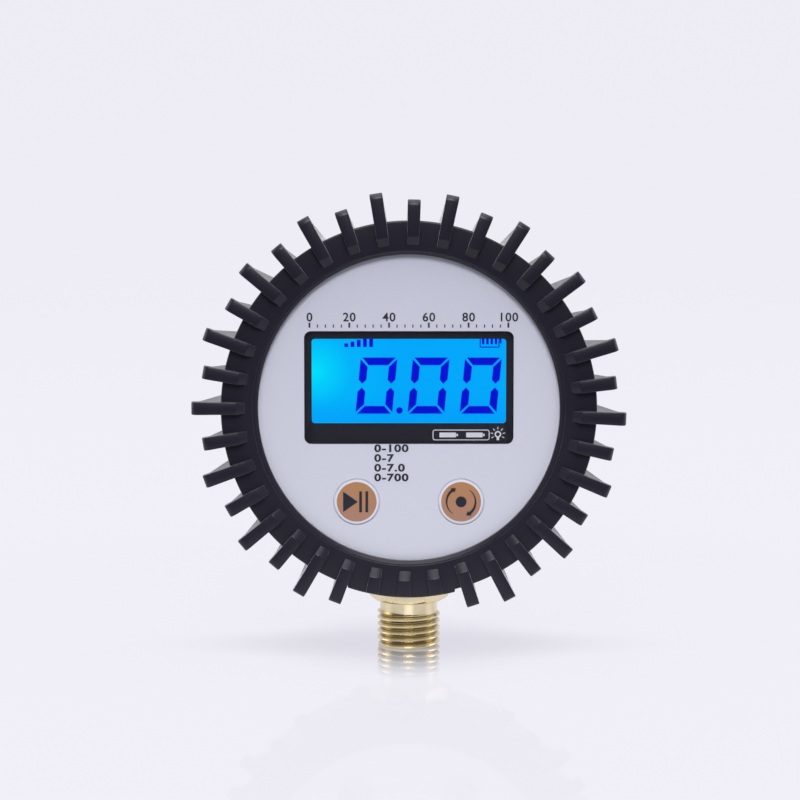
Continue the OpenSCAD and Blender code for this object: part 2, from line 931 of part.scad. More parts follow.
module wire(points, d) {
    for (i = [0 : len(points) - 2]) {
        step = points[i + 1] - points[i];
        l = norm(step);
        translate(points[i])
            rotate([0, acos(step[2] / l), atan2(step[1], step[0])])
                cylinder(d = d, h = l, $fn = 32);
        if (i > 0) translate(points[i]) sphere(d = bend_share * d, $fn = 32);
    }
}

socket_w = 6;
socket_h = 5;
socket_t = 3.2;
socket_x = -17;
sensor_wire_d = 0.9;
sensor_wire_step = 1.1;
sensor_lead_drop = 2.1;
sensor_lead_run = 2;
sensor_lead_y = -bay_h / 2 - bay_wall - sensor_wire_step - sensor_lead_drop;

module sensor_socket() {
    color([0.95, 0.93, 0.85])
        in_head() chip(socket_x, sensor_lead_y, socket_w, socket_h, socket_t);
}

module sensor_lead() {
    start_y = sensor_z + sensor_t - head_z;
    socket_side = socket_x + socket_w / 2;
    socket_middle = board_back - socket_t / 2;
    color([0.85, 0.2, 0.15])
        in_head() for (i = [-1 : 1]) {
            x = i * sensor_wire_step;
            y = sensor_lead_y + i * sensor_wire_step;
            wire([
                [x, start_y, 0],
                [x, y, 0],
                [socket_side + sensor_lead_run, y, socket_middle],
                [socket_side, y, socket_middle]
            ], sensor_wire_d);
        }
}

module battery_lead(side) {
    plate_x = bay_l / 2 - contact_t;
    pad_x = plate_x - lead_run;
    lead_front = bay_floor_front + tab_out / 2;
    in_head() wire([
        [plate_x, side * cell_side, lead_front],
        [pad_x, side * cell_side, lead_front],
        [pad_x, side * cell_side, board_back]
    ], lead_d);
}

module red_battery_lead() {
    color([0.8, 0.1, 0.1]) battery_lead(1);
}

module black_battery_lead() {
    color([0.05, 0.05, 0.05]) battery_lead(-1);
}

// The batteries and their contacts

// A cell along x, with its nub towards the given side
module cell(side, up) {
    pole_x = bay_l / 2 - contact_t;
    in_head() translate([side * pole_x, up, cell_front])
        rotate([0, -side * 90, 0]) {
            cylinder(d = nub_d, h = nub_l + cut);
            translate([0, 0, nub_l]) cylinder(d = cell_d, h = cell_l - nub_l);
        }
}

module upper_cell() {
    color([0.2, 0.45, 0.35]) cell(1, cell_side);
}

module lower_cell() {
    color([0.2, 0.45, 0.35]) cell(-1, -cell_side);
}

module contact_plate(side, up, h, tab) {
    plate_front_edge = bay_floor_back - cell_fit;
    x = side * (bay_l - contact_t) / 2;
    color([0.8, 0.8, 0.78])
        in_head() translate([x, up, 0]) {
            slab(contact_t, h, contact_back, plate_front_edge);
            if (tab) slab(contact_t, tab_w, plate_front_edge - cut, bay_floor_front + tab_out);
        }
}

module bridge_contact() {
    contact_plate(-1, 0, contact_h + 2 * cell_side, false);
}

module positive_contact() {
    contact_plate(1, cell_side, contact_h, true);
}

module negative_contact() {
    contact_plate(1, -cell_side, contact_h, true);
}

// A spring is one tube along a helix that narrows towards the cell. Its points
// run from the plate at z = 0 to the cell, and its least gap to itself is the
// distance between points one turn apart, less the wire.
spring_rings = 8;
spring_sides = 6;
spring_rise = spring_l - spring_wire - 2 * spring_fit;

function spring_point(t) =
    let (a = 360 * spring_turns * t, r = spring_big_r + (spring_small_r - spring_big_r) * t)
    [r * cos(a), r * sin(a), spring_wire / 2 + spring_fit + spring_rise * t];

function spring_ahead(t) =
    let (s = 0.001, d = spring_point(t + s) - spring_point(t - s))
    d / norm(d);

function spring_gap() =
    let (n = spring_rings * spring_turns)
    min([for (i = [0 : n - spring_rings])
        norm(spring_point((i + spring_rings) / n) - spring_point(i / n))]) - spring_wire;

module contact_spring() {
    n = round(spring_rings * spring_turns);
    ring = [for (i = [0 : n])
        let (
            t = i / n,
            p = spring_point(t),
            ahead = spring_ahead(t),
            a = 360 * spring_turns * t,
            out = [cos(a), sin(a), 0],
            side = cross(ahead, out),
            up = side / norm(side),
            across = cross(up, ahead)
        )
        for (k = [0 : spring_sides - 1])
            let (b = 360 * k / spring_sides)
            p + spring_wire / 2 * (cos(b) * across + sin(b) * up)];
    walls = [for (i = [0 : n - 1], k = [0 : spring_sides - 1])
        let (
            m = (k + 1) % spring_sides,
            a = i * spring_sides + k,
            b = i * spring_sides + m,
            c = a + spring_sides,
            d = b + spring_sides
        )
        each [[a, c, b], [b, c, d]]];
    first_end = [for (k = [0 : spring_sides - 1]) k];
    last_end = [for (k = [spring_sides - 1 : -1 : 0]) n * spring_sides + k];
    polyhedron(ring, concat(walls, [first_end], [last_end]));
}

module cell_spring(side, up) {
    plate_x = bay_l / 2 - contact_t;
    color([0.75, 0.76, 0.78])
        in_head() translate([side * plate_x, up, cell_front])
            rotate([0, -side * 90, 0]) contact_spring();
}

module upper_cell_spring() {
    echo(least_gap_in_upper_spring = spring_gap());
    cell_spring(-1, cell_side);
}

module lower_cell_spring() {
    echo(least_gap_in_lower_spring = spring_gap());
    cell_spring(1, -cell_side);
}

module battery_door() {
    bottom = -bay_h / 2 - door_lap;
    tongue_bottom = -bay_h / 2 + tongue_fit;
    color([0.2, 0.2, 0.22])
        in_head() union() {
            translate([-door_w / 2, bottom, -case_back])
                cube([door_w, hinge_up - bottom, door_t]);
            translate([0, hinge_up, hinge_front]) rotate([0, 90, 0]) {
                cylinder(d = door_t, h = door_w, center = true);
                cylinder(d = hinge_pin_d, h = door_w + 2 * hinge_pin_l, center = true);
            }
            translate([-tongue_w / 2, tongue_bottom, back_front - cut])
                cube([tongue_w, tongue_t, tongue_l + cut]);
        }
}

// The stem

module brass_stem() {
    thread_r = thread_d / 2;
    root_r = thread_r - thread_depth;
    relief_r = relief_d / 2;
    groove_half = (thread_pitch - thread_crest) / 2;
    last_crest_z = thread_l - thread_crest - thread_pitch / 2;
    turns = 1 + floor((last_crest_z - thread_bevel) / thread_pitch);
    bottom_r = hex_bottom_r_share * hex_flats / 2;
    corner_rise = tan(hex_corner_slope);
    seat_r = sensor_d / 2 + fit;
    color([0.85, 0.75, 0.5]) difference() {
        union() {
            rotate_extrude() polygon(concat(
                [[0, 0], [thread_r - thread_bevel, 0], [thread_r, thread_bevel]],
                [for (i = [0 : turns - 1])
                    let (z = thread_bevel + thread_crest + groove_half + i * thread_pitch)
                    each [
                        [thread_r, z - groove_half],
                        [root_r, z],
                        [thread_r, min(z + groove_half, thread_l)]
                    ]],
                [
                    [thread_r, thread_l],
                    [relief_r, thread_l],
                    [relief_r, hex_z + cut / 2],
                    [0, hex_z + cut / 2]
                ]
            ));
            intersection() {
                translate([0, 0, hex_z]) rotate([0, 0, hex_turn])
                    cylinder(r = hex_corner_r, h = hex_l, $fn = 6);
                translate([0, 0, hex_z])
                    rotate_extrude() polygon([
                        [0, 0],
                        [bottom_r, 0],
                        [hex_corner_r + cut, (hex_corner_r + cut - bottom_r) * corner_rise],
                        [hex_corner_r + cut, hex_l + cut],
                        [0, hex_l + cut]
                    ]);
            }
            translate([0, 0, hex_z + hex_l - cut / 2])
                cylinder(d = barrel_d, h = barrel_top - hex_z - hex_l + cut / 2);
            translate([0, 0, flange_z]) cylinder(d = flange_d, h = flange_t);
        }
        translate([0, 0, -cut]) cylinder(d = port_d, h = barrel_top + 2 * cut);
        translate([0, 0, seal_z]) cylinder(r = seat_r, h = barrel_top - seal_z + cut);
    }
}

module sensor_seal() {
    color([0.05, 0.05, 0.05])
        translate([0, 0, seal_z + seal_cord / 2])
            rotate_extrude() translate([(sensor_d - seal_cord) / 2, 0]) circle(d = seal_cord);
}

module pressure_sensor() {
    color([0.8, 0.8, 0.82])
        translate([0, 0, sensor_z]) cylinder(d = sensor_d, h = sensor_t);
}

retainer_hole_share = 0.55;

module sensor_retainer() {
    color([0.8, 0.7, 0.45])
        translate([0, 0, retainer_z]) difference() {
            cylinder(d = sensor_d, h = retainer_t);
            translate([0, 0, -cut])
                cylinder(d = retainer_hole_share * sensor_d, h = retainer_t + 2 * cut);
        }
}

module stem_clamp() {
    color([0.25, 0.25, 0.28])
        in_head() difference() {
            intersection() {
                translate([0, clamp_middle, 0])
                    slab(clamp_w, clamp_top - clamp_z, 0, clamp_front);
                disc(case_in_r - fit, -cut, clamp_front + cut);
            }
            stem_way(fit);
            at_clamp_screws() {
                disc(clamp_screw_d / 2 + screw_fit, -cut, clamp_front + cut);
                disc(clamp_screw_head_d / 2 + fit, clamp_front - clamp_head_sink,
                     clamp_front + cut);
            }
        }
}

module clamp_screws() {
    head_back = clamp_front - clamp_head_sink;
    head_front = head_back + clamp_screw_head_l;
    color([0.75, 0.75, 0.78])
        in_head() at_clamp_screws() difference() {
            union() {
                disc(clamp_screw_head_d / 2, head_back, head_front);
                disc(clamp_screw_d / 2, head_back - clamp_screw_l, head_front);
            }
            screw_cross(clamp_screw_head_d, head_front, -1);
        }
}

rubber_boot();
front_case();
rear_case();
case_gasket();
face_label();
window_lens();
window_bezel();
hold_key();
mode_key();
lcd_front_film();
lcd_front_glass();
lcd_rear_glass();
lcd_rear_film();
lcd_holder();
upper_zebra_strip();
lower_zebra_strip();
backlight_panel();
backlight_led();
circuit_board();
processor();
sensor_amplifier();
quartz_crystal();
chip_capacitors();
hold_switch_body();
hold_switch_plunger();
mode_switch_body();
mode_switch_plunger();
sensor_socket();
sensor_lead();
board_screws();
upper_cell();
lower_cell();
bridge_contact();
positive_contact();
negative_contact();
upper_cell_spring();
lower_cell_spring();
red_battery_lead();
black_battery_lead();
battery_door();
brass_stem();
stem_clamp();
clamp_screws();
pressure_sensor();
sensor_seal();
sensor_retainer();
case_screws();
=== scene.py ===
# %% [markdown]
# # A digital pressure gauge, dressed for the studio
# The gauge is a round display head in a ribbed rubber boot, carried on a threaded
# brass stem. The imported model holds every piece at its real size. This lesson adds
# what the eye looks for: soft moulded rubber, turned brass with a true thread, a
# printed face, a lit display, and a pale studio to see them in.

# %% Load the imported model
import math

import bmesh
import bpy
from mathutils import Matrix, Vector


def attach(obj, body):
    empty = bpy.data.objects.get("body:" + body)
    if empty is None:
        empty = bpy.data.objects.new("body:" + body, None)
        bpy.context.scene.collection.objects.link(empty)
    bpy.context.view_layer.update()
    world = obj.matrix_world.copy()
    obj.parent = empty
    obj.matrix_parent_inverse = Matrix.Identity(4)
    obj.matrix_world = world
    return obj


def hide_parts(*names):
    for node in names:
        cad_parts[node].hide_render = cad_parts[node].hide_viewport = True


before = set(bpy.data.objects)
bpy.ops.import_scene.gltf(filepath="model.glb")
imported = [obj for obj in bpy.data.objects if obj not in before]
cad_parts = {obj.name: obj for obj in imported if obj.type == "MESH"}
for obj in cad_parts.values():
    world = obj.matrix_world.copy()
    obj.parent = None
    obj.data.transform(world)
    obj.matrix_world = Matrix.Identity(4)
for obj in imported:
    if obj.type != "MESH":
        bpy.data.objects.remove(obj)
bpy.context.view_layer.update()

# %% [markdown]
# ## Units and directions
# Blender works in metres and the gauge is drawn in millimetres, so lengths are
# written as a number times MM. The head is easiest to model lying down: x to the
# right, y up the face and z out of the face. One matrix stands it up, 54.65 mm
# above the end of the stem, looking along -Y.

# %% Head frame
MM = 0.001
head_z = 54.65 * MM
HEAD = Matrix.Translation((0, 0, head_z)) @ Matrix.Rotation(math.radians(90), 4, "X")

# Layers of the head, as distances in front of the stem's axis
label_front = 14 * MM
rim_front = 16 * MM
plate_back = 11.6 * MM
case_back = -15 * MM

# %% [markdown]
# ## From colour picker to material
# A material is a tree of nodes. The renderer adds up linear values, so the hex
# colours of a colour picker are turned into those. Every pattern is laid out in
# Object coordinates, so its scale is in real millimetres.

# %% Colour and node helpers


def linear(hex_code):
    """An sRGB hex colour as linear red, green and blue, with an alpha of 1."""
    channels = [int(hex_code[i:i + 2], 16) / 255 for i in (1, 3, 5)]
    curve = [c / 12.92 if c <= 0.04045 else ((c + 0.055) / 1.055) ** 2.4 for c in channels]
    return (*curve, 1.0)


def add_node(tree, kind, values=None, links=None, **settings):
    """Adds one shader node, with its settings, its socket values and its links."""
    node = tree.nodes.new(kind)
    for name, value in settings.items():
        setattr(node, name, value)
    for socket, value in (values or {}).items():
        node.inputs[socket].default_value = value
    for socket, source in (links or {}).items():
        tree.links.new(source, node.inputs[socket])
    return node


def new_material(name, **values):
    """A material with one Principled surface: it, its tree, its surface and its places."""
    material = bpy.data.materials.new(name)
    material.use_nodes = True
    tree = material.node_tree
    surface = tree.nodes["Principled BSDF"]
    for socket, value in values.items():
        surface.inputs[socket.replace("_", " ")].default_value = value
    return material, tree, surface, add_node(tree, "ShaderNodeTexCoord").outputs["Object"]


# %% [markdown]
# ## Small parts of a node tree
# Most finishes are the same few steps in another order: noise or bands of a real
# size, a new range, a mix, a ramp of colours, a sum, and bumps. Each step is one
# function, which gives the output that the next one takes.

# %% Steps of a finish
wave_width = 0.314


def feed(tree, surface, sources):
    """Links outputs to the sockets of a surface shader, by name."""
    for socket, source in sources.items():
        tree.links.new(source, surface.inputs[socket])


def noise(tree, place, size, detail):
    return add_node(
        tree, "ShaderNodeTexNoise", {"Scale": 1 / size, "Detail": detail},
        {"Vector": place}).outputs["Fac"]


def bands(tree, place, width, letter, **values):
    """Soft bands of a real width, one after another along an axis."""
    return add_node(
        tree, "ShaderNodeTexWave", {"Scale": wave_width / width, **values},
        {"Vector": place}, bands_direction=letter).outputs["Fac"]


def remap(tree, value, source, target, kind="LINEAR"):
    """Moves a value from one range to another, each given as its two ends."""
    ends = dict(zip(("From Min", "From Max", "To Min", "To Max"), (*source, *target)))
    return add_node(
        tree, "ShaderNodeMapRange", ends, {"Value": value},
        interpolation_type=kind).outputs["Result"]


def mixed(tree, share, first, second):
    """Mixes two colours, each a hex colour or another node's output."""
    node = add_node(tree, "ShaderNodeMix", links={"Factor": share}, data_type="RGBA")
    for socket, colour in (("A", first), ("B", second)):
        if isinstance(colour, str):
            node.inputs[socket].default_value = linear(colour)
        else:
            tree.links.new(colour, node.inputs[socket])
    return node.outputs["Result"]


def ramp(tree, value, stops, interpolation="LINEAR"):
    """A ramp over a value, from stops of (share, hex colour)."""
    node = add_node(tree, "ShaderNodeValToRGB", links={"Fac": value})
    bar = node.color_ramp
    bar.interpolation = interpolation
    for element, (share, hex_code) in zip(bar.elements, (stops[0], stops[-1])):
        element.position = share
        element.color = linear(hex_code)
    for share, hex_code in stops[1:-1]:
        bar.elements.new(share).color = linear(hex_code)
    return node.outputs["Color"]


def combine(tree, kind, operation, *terms):
    """A maths node of one kind. Each term is a value or another node's output."""
    node = add_node(tree, kind, operation=operation)
    for i, term in enumerate(terms):
        if isinstance(term, bpy.types.NodeSocket):
            tree.links.new(term, node.inputs[i])
        else:
            node.inputs[i].default_value = term
    return node.outputs


def number(tree, operation, *terms):
    return combine(tree, "ShaderNodeMath", operation, *terms)["Value"]


def vector(tree, operation, *terms):
    outputs = combine(tree, "ShaderNodeVectorMath", operation, *terms)
    return outputs["Value" if operation in ("LENGTH", "DISTANCE") else "Vector"]


def axis(tree, place, letter):
    return add_node(tree, "ShaderNodeSeparateXYZ", links={"Vector": place}).outputs[letter]


def bumps(tree, height, strength, depth):
    return add_node(
        tree, "ShaderNodeBump", {"Strength": strength, "Distance": depth},
        {"Height": height}).outputs["Normal"]


# %% [markdown]
# ## Moulded rubber
# The boot is thermoplastic rubber from a blasted mould, so its skin is matt with a
# fine even grain. The grain is 0.3 mm here, coarser than life, so that it still
# shows from half a metre away.

# %% Boot rubber


def boot_rubber():
    material, tree, surface, place = new_material(
        "thermoplastic_rubber_blasted", IOR=1.5, Specular_IOR_Level=0.3, Sheen_Weight=0.35,
        Sheen_Roughness=0.3)
    patches = noise(tree, place, 9 * MM, 4)
    feed(tree, surface, {
        "Base Color": mixed(tree, patches, "#1d1b27", "#22202d"),
        "Roughness": remap(tree, patches, (0, 1), (0.28, 0.36)),
        "Normal": bumps(tree, noise(tree, place, 0.3 * MM, 3), 0.25, 0.03 * MM),
    })
    return material


# %% [markdown]
# ## Moulded plastics
# The case and the door are black ABS from a spark-eroded mould, which leaves a
# satin texture. The same recipe in other colours and grains gives the small parts.

# %% Moulded plastic


def moulded_plastic(name, dark, light, roughness, grain_mm, relief):
    """A moulded plastic: two close tones in soft patches under a fine grain."""
    material, tree, surface, place = new_material(name, Roughness=roughness, IOR=1.53)
    grain = add_node(
        tree, "ShaderNodeTexVoronoi", {"Scale": 1 / (grain_mm * MM)}, {"Vector": place})
    feed(tree, surface, {
        "Base Color": mixed(tree, noise(tree, place, 6 * MM, 3), dark, light),
        "Normal": bumps(tree, grain.outputs["Distance"], relief, 0.04 * MM),
    })
    return material


# %% [markdown]
# ## Turned and plated metals
# Brass comes off the lathe bright, with rings as fine as the tool's feed, drawn
# 0.16 mm apart here, and it tarnishes in faint clouds. Zinc and nickel are smoother.

# %% Metal


def plain_metal(name, clean, stained, roughness, ring_mm, relief):
    """A metal with faint stains and with fine rings across its Z direction."""
    material, tree, surface, place = new_material(name, Metallic=1.0, Roughness=roughness)
    clouds = noise(tree, place, 3 * MM, 5)
    rings = bands(tree, place, ring_mm * MM, "Z", Distortion=1.2, Detail=2)
    feed(tree, surface, {
        "Base Color": mixed(tree, clouds, clean, stained),
        "Roughness": remap(tree, clouds, (0, 1), (roughness * 0.8, roughness * 1.35)),
        "Normal": bumps(tree, rings, relief, 0.01 * MM),
    })
    return material


# %% [markdown]
# ## Painted shade in the thread
# The roots of a thread lie in shade, which is painted here as a darker colour. How far
# a point lies from the stem's axis tells root from crest, and its height keeps the
# painted shade below the relief.

# %% Painted thread shade


def paint_thread_root_shade(material, root_r, crest_r, top):
    """Paints shade on a metal as a darker colour, between two radii, below a height."""
    tree = material.node_tree
    surface = tree.nodes["Principled BSDF"]
    clean = surface.inputs["Base Color"].links[0].from_socket
    place = add_node(tree, "ShaderNodeTexCoord").outputs["Object"]
    away = vector(tree, "LENGTH", vector(tree, "MULTIPLY", place, (1, 1, 0)))
    depth = remap(tree, away, (root_r, crest_r), (0.8, 0))
    low = remap(tree, axis(tree, place, "Z"), (top - 0.3 * MM, top), (1, 0))
    share = number(tree, "MULTIPLY", depth, low)
    # The dark olive colour is the painted shade in the thread's roots.
    feed(tree, surface, {"Base Color": mixed(tree, share, clean, "#765f18")})


# %% [markdown]
# ## Printed film
# The inks are flat colours with a faint mottle from the printing screen, and the
# polyester film under them has a fine velvet texture that spreads the highlights.

# %% Film and inks


def printed_film(name, dark, light, roughness):
    """A printed film or ink: an even colour with the mottle of a fine screen."""
    material, tree, surface, place = new_material(name, Roughness=roughness, IOR=1.57)
    mottle = noise(tree, place, 0.5 * MM, 2)
    feed(tree, surface, {
        "Base Color": mixed(tree, mottle, dark, light),
        "Normal": bumps(tree, mottle, 0.08, 0.01 * MM),
    })
    return material


# %% [markdown]
# ## Face film and key ink
# The face has painted shade, a hair darker at the top, and the tan discs on the keys
# shift from ochre at the top to a pinker brown. A ramp over a real height sets both.

# %% Face film and key ink
face_r = 33 * MM
key_side = 11.35 * MM
key_up = -20.5 * MM
key_disc_r = 4.33 * MM


def height_ramp(tree, place, middle, reach, low, high):
    """A ramp of two colours over the height, as far as reach from a middle."""
    ends = (middle - reach, middle + reach)
    share = remap(tree, axis(tree, place, "Z"), ends, (0, 1))
    return ramp(tree, share, [(0, low), (1, high)])


def face_film():
    material, tree, surface, place = new_material(
        "polyester_film_pearl_grey", Roughness=0.42, IOR=1.57, Specular_IOR_Level=0.4)
    mottle = noise(tree, place, 0.5 * MM, 2)
    shade = remap(tree, mottle, (0, 1), (0.97, 1.03))
    # Painted shade: this ramp makes the face's top a hair darker than its bottom.
    tone = height_ramp(tree, place, head_z, face_r, "#d0d1de", "#cccede")
    feed(tree, surface, {
        "Base Color": vector(tree, "MULTIPLY", tone, shade),
        "Normal": bumps(tree, mottle, 0.08, 0.01 * MM),
    })
    return material


def key_ink():
    material, tree, surface, place = new_material("tan_screen_ink", Roughness=0.5, IOR=1.5)
    tone = height_ramp(tree, place, head_z + key_up, key_disc_r, "#a87d6a", "#b07f52")
    feed(tree, surface, {"Base Color": tone})
    return material


# %% [markdown]
# ## The lit display
# A small lamp at the left lights the panel behind the liquid crystal, so the blue
# is brightest and greenest there. The film gives its own light: a ramp over the
# distance from the lamp sets its colour, and its lower half is a touch deeper.

# %% Display film and segments
glow_place = Vector((-20.6 * MM, -plate_back, head_z + 7.75 * MM))
glow_reach = 40 * MM
glow_stops = [
    (0, "#00e6ff"), (0.08, "#00d2ff"), (0.2, "#00b8ff"), (0.45, "#00acff"), (1, "#00acff")]


def lit_film():
    material, tree, surface, place = new_material(
        "polariser_film_backlit", Base_Color=linear("#02070c"), Roughness=0.3,
        Specular_IOR_Level=0.03, Emission_Strength=1.0)
    away = vector(tree, "DISTANCE", place, glow_place)
    glow = ramp(tree, remap(tree, away, (0, glow_reach), (0, 1)), glow_stops)
    low = remap(
        tree, axis(tree, place, "Z"), (head_z + 3.75 * MM, head_z - 3.25 * MM), (0, 0.6),
        "SMOOTHSTEP")
    feed(tree, surface, {"Emission Color": mixed(tree, low, glow, "#00a0ff")})
    return material


def lit_segment():
    material, tree, surface, place = new_material(
        "liquid_crystal_segment_on", Base_Color=linear("#02030a"), Roughness=0.4,
        Specular_IOR_Level=0.03, Emission_Strength=1.0)
    mottle = noise(tree, place, 1.2 * MM, 2)
    feed(tree, surface, {"Emission Color": mixed(tree, mottle, "#0612b4", "#0410f0")})
    return material


# %% [markdown]
# ## Clear plastic and glass
# The window is acrylic, with an IOR of 1.49. A coat on both faces takes most of its
# reflection away, so the larger share of its shader lets light straight through.
# The display's own sheets are float glass, at 1.52.

# %% Clear materials


def clear_sheet(name, tint, ior, roughness):
    material, tree, surface, place = new_material(
        name, Base_Color=linear(tint), IOR=ior, Roughness=roughness, Transmission_Weight=1.0)
    smear = noise(tree, place, 7 * MM, 2)
    feed(tree, surface, {"Roughness": remap(tree, smear, (0, 1), (roughness, roughness * 2))})
    return material


def coated(material, tint, share):
    """Lets light straight through a clear material, but for a share of it."""
    tree = material.node_tree
    straight = add_node(tree, "ShaderNodeBsdfTransparent", {"Color": linear(tint)})
    mix = add_node(
        tree, "ShaderNodeMixShader", {"Fac": share},
        {1: straight.outputs["BSDF"], 2: tree.nodes["Principled BSDF"].outputs["BSDF"]})
    tree.links.new(mix.outputs["Shader"], tree.nodes["Material Output"].inputs["Surface"])
    return material


# %% [markdown]
# ## Circuit board and contact strips
# The board is glass laminate under green solder resist, with copper tracks that
# show as paler lines. The contact strips are silicone with hundreds of fine black
# layers, drawn 0.4 mm apart so that they show.

# %% Board and strip materials


def board_laminate():
    material, tree, surface, place = new_material(
        "glass_laminate_green_resist", Roughness=0.35, IOR=1.5)
    upright = add_node(
        tree, "ShaderNodeMapping", {"Rotation": (math.radians(90), 0, 0)}, {"Vector": place})
    tracks = add_node(tree, "ShaderNodeTexBrick", {
        "Scale": 1 / (5 * MM), "Mortar Size": 0.03, "Brick Width": 0.6, "Row Height": 0.22,
        "Color1": linear("#0d4a2b"), "Color2": linear("#0f5230"), "Mortar": linear("#1c7040"),
    }, {"Vector": upright.outputs["Vector"]})
    feed(tree, surface, {"Base Color": tracks.outputs["Color"]})
    return material


def contact_silicone():
    material, tree, surface, place = new_material("silicone_layered_carbon", Roughness=0.6)
    layers = bands(tree, place, 0.4 * MM, "X")
    feed(tree, surface, {"Base Color": ramp(tree, layers, [(0, "#1a1618"), (1, "#d99aa6")])})
    return material


# %% [markdown]
# ## The materials by name
# Each finish is made once and shared. The printed names say what it is in life.

# %% Make the materials
rubber = boot_rubber()
abs_black = moulded_plastic("abs_black_spark_eroded", "#1b1b1d", "#242427", 0.55, 0.45, 0.35)
key_cap = moulded_plastic("abs_pearl_white", "#d4d5e2", "#dcdde8", 0.4, 0.3, 0.08)
white_plastic = moulded_plastic("pbt_natural_white", "#dcdcd6", "#e8e8e3", 0.45, 0.4, 0.15)
chip_epoxy = moulded_plastic("epoxy_moulding_black", "#111113", "#1b1b1e", 0.6, 0.2, 0.4)
seal_rubber = moulded_plastic("nitrile_rubber_black", "#0d0d0e", "#151517", 0.5, 0.3, 0.15)
red_pvc = moulded_plastic("pvc_insulation_red", "#a01414", "#b81a18", 0.35, 0.5, 0.05)
black_pvc = moulded_plastic("pvc_insulation_black", "#0e0e10", "#18181a", 0.35, 0.5, 0.05)
lamp_resin = moulded_plastic("led_phosphor_resin", "#e6d98a", "#f2e8a8", 0.25, 0.3, 0.02)
panel_acrylic = moulded_plastic("acrylic_light_guide", "#cfe6f2", "#e2f2fa", 0.3, 0.6, 0.2)
capacitor_ceramic = moulded_plastic("barium_titanate_ceramic", "#7d6845", "#927b55", 0.5, 0.2, 0.1)
brass = plain_metal("free_cutting_brass_turned", "#efe3c4", "#dfcf9f", 0.24, 0.16, 0.25)
# The brass gets painted shade in the roots of its thread.
paint_thread_root_shade(brass, 6.2 * MM, 6.9 * MM, 7.5 * MM)
zinc = plain_metal("zinc_plated_steel", "#c6c8cc", "#aeb2b8", 0.3, 0.2, 0.15)
nickel = plain_metal("nickel_plated_spring_steel", "#d2d0ca", "#bcbab2", 0.22, 0.3, 0.08)
label_film = face_film()
navy_ink = printed_film("navy_black_screen_ink", "#0b0d1c", "#12142a", 0.45)
white_ink = printed_film("white_screen_ink", "#d9d9e4", "#e6e6ee", 0.45)
bezel_ink = printed_film("black_screen_ink_gloss", "#23212c", "#282632", 0.3)
tan_ink = key_ink()
display_film = lit_film()
segment_on = lit_segment()
window_acrylic = coated(clear_sheet("acrylic_window", "#f8fafc", 1.49, 0.02), "#fbfcfd", 0.12)
display_glass = clear_sheet("float_glass", "#e6f4f0", 1.52, 0.01)
board_green = board_laminate()
strip_silicone = contact_silicone()
print("materials:", ", ".join(material.name for material in bpy.data.materials))

# %% [markdown]
# ## Dress the pieces that are already right
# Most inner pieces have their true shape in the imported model. They keep it and get
# their finish.

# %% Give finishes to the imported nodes
node_finish = [
    (abs_black, "front_case rear_case battery_door stem_clamp"),
    (seal_rubber, "case_gasket sensor_seal"),
    (label_film, "face_label"),
    (window_acrylic, "window_lens"),
    (bezel_ink, "window_bezel"),
    (display_film, "lcd_front_film lcd_rear_film"),
    (display_glass, "lcd_front_glass lcd_rear_glass"),
    (white_plastic, "lcd_holder sensor_socket hold_switch_plunger mode_switch_plunger"),
    (chip_epoxy, "hold_switch_body mode_switch_body processor sensor_amplifier"),
    (strip_silicone, "upper_zebra_strip lower_zebra_strip"),
    (panel_acrylic, "backlight_panel"),
    (lamp_resin, "backlight_led"),
    (board_green, "circuit_board"),
    (capacitor_ceramic, "chip_capacitors"),
    (red_pvc, "sensor_lead red_battery_lead"),
    (black_pvc, "black_battery_lead"),
    (nickel, "quartz_crystal bridge_contact positive_contact negative_contact"),
    (zinc, "board_screws case_screws clamp_screws pressure_sensor"),
    (brass, "sensor_retainer"),
]
for material, nodes in node_finish:
    for node in nodes.split():
        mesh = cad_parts[node].data
        mesh.materials.clear()
        mesh.materials.append(material)
print("dressed", sum(len(nodes.split()) for _, nodes in node_finish), "packed nodes")

# %% [markdown]
# ## From outline to finished piece
# Most new pieces start as an outline: a short list of real corners, each with a
# radius. A finished piece keeps its place in its mesh, its object at the origin.

# %% Outline and finishing helpers


def polar(radius, angle, x=0, y=0):
    """The point at a radius and an angle from x, y."""
    return x + radius * math.cos(angle), y + radius * math.sin(angle)


def rounded(corners, steps=5):
    """Replaces each (x, y, radius) corner of a closed outline with an arc of points."""
    points = []
    for i, (x, y, radius) in enumerate(corners):
        here = Vector((x, y))
        before = Vector(corners[i - 1][:2]) - here
        after = Vector(corners[(i + 1) % len(corners)][:2]) - here
        if radius <= 0:
            points.append(here)
            continue
        half = before.angle(after) / 2
        reach = radius / math.tan(half)
        centre = here + (before.normalized() + after.normalized()).normalized() * (
            radius / math.sin(half))
        start = here + before.normalized() * reach - centre
        end = here + after.normalized() * reach - centre
        turn = start.angle_signed(end)
        for k in range(steps + 1):
            points.append(centre + Matrix.Rotation(-turn * k / steps, 2) @ start)
    return points


def take_mesh(name, bm):
    """Turns a bmesh into a mesh and frees it."""
    mesh = bpy.data.meshes.new(name)
    bm.to_mesh(mesh)
    bm.free()
    return mesh


def add_object(name, data):
    holder = bpy.data.objects.new(name, data)
    bpy.context.collection.objects.link(holder)
    return holder


def finish(name, bm, material, body="gauge", angle=30):
    """Turns a bmesh into a smooth-shaded piece that rides on a body."""
    mesh = take_mesh(name, bm)
    mesh.shade_smooth()
    mesh.set_sharp_from_angle(angle=math.radians(angle))
    mesh.materials.append(material)
    piece = add_object(name, mesh)
    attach(piece, body)
    return piece


# %% [markdown]
# ## Mesh steps
# Spinning an outline turns it on a lathe, and filling one and pushing it along
# gives a slab. The other steps round edges off, join meshes and stand pieces up.

# %% Mesh helpers


def verts_of(geom):
    return [v for v in geom if isinstance(v, bmesh.types.BMVert)]


def edges_of(geom):
    return [e for e in geom if isinstance(e, bmesh.types.BMEdge)]


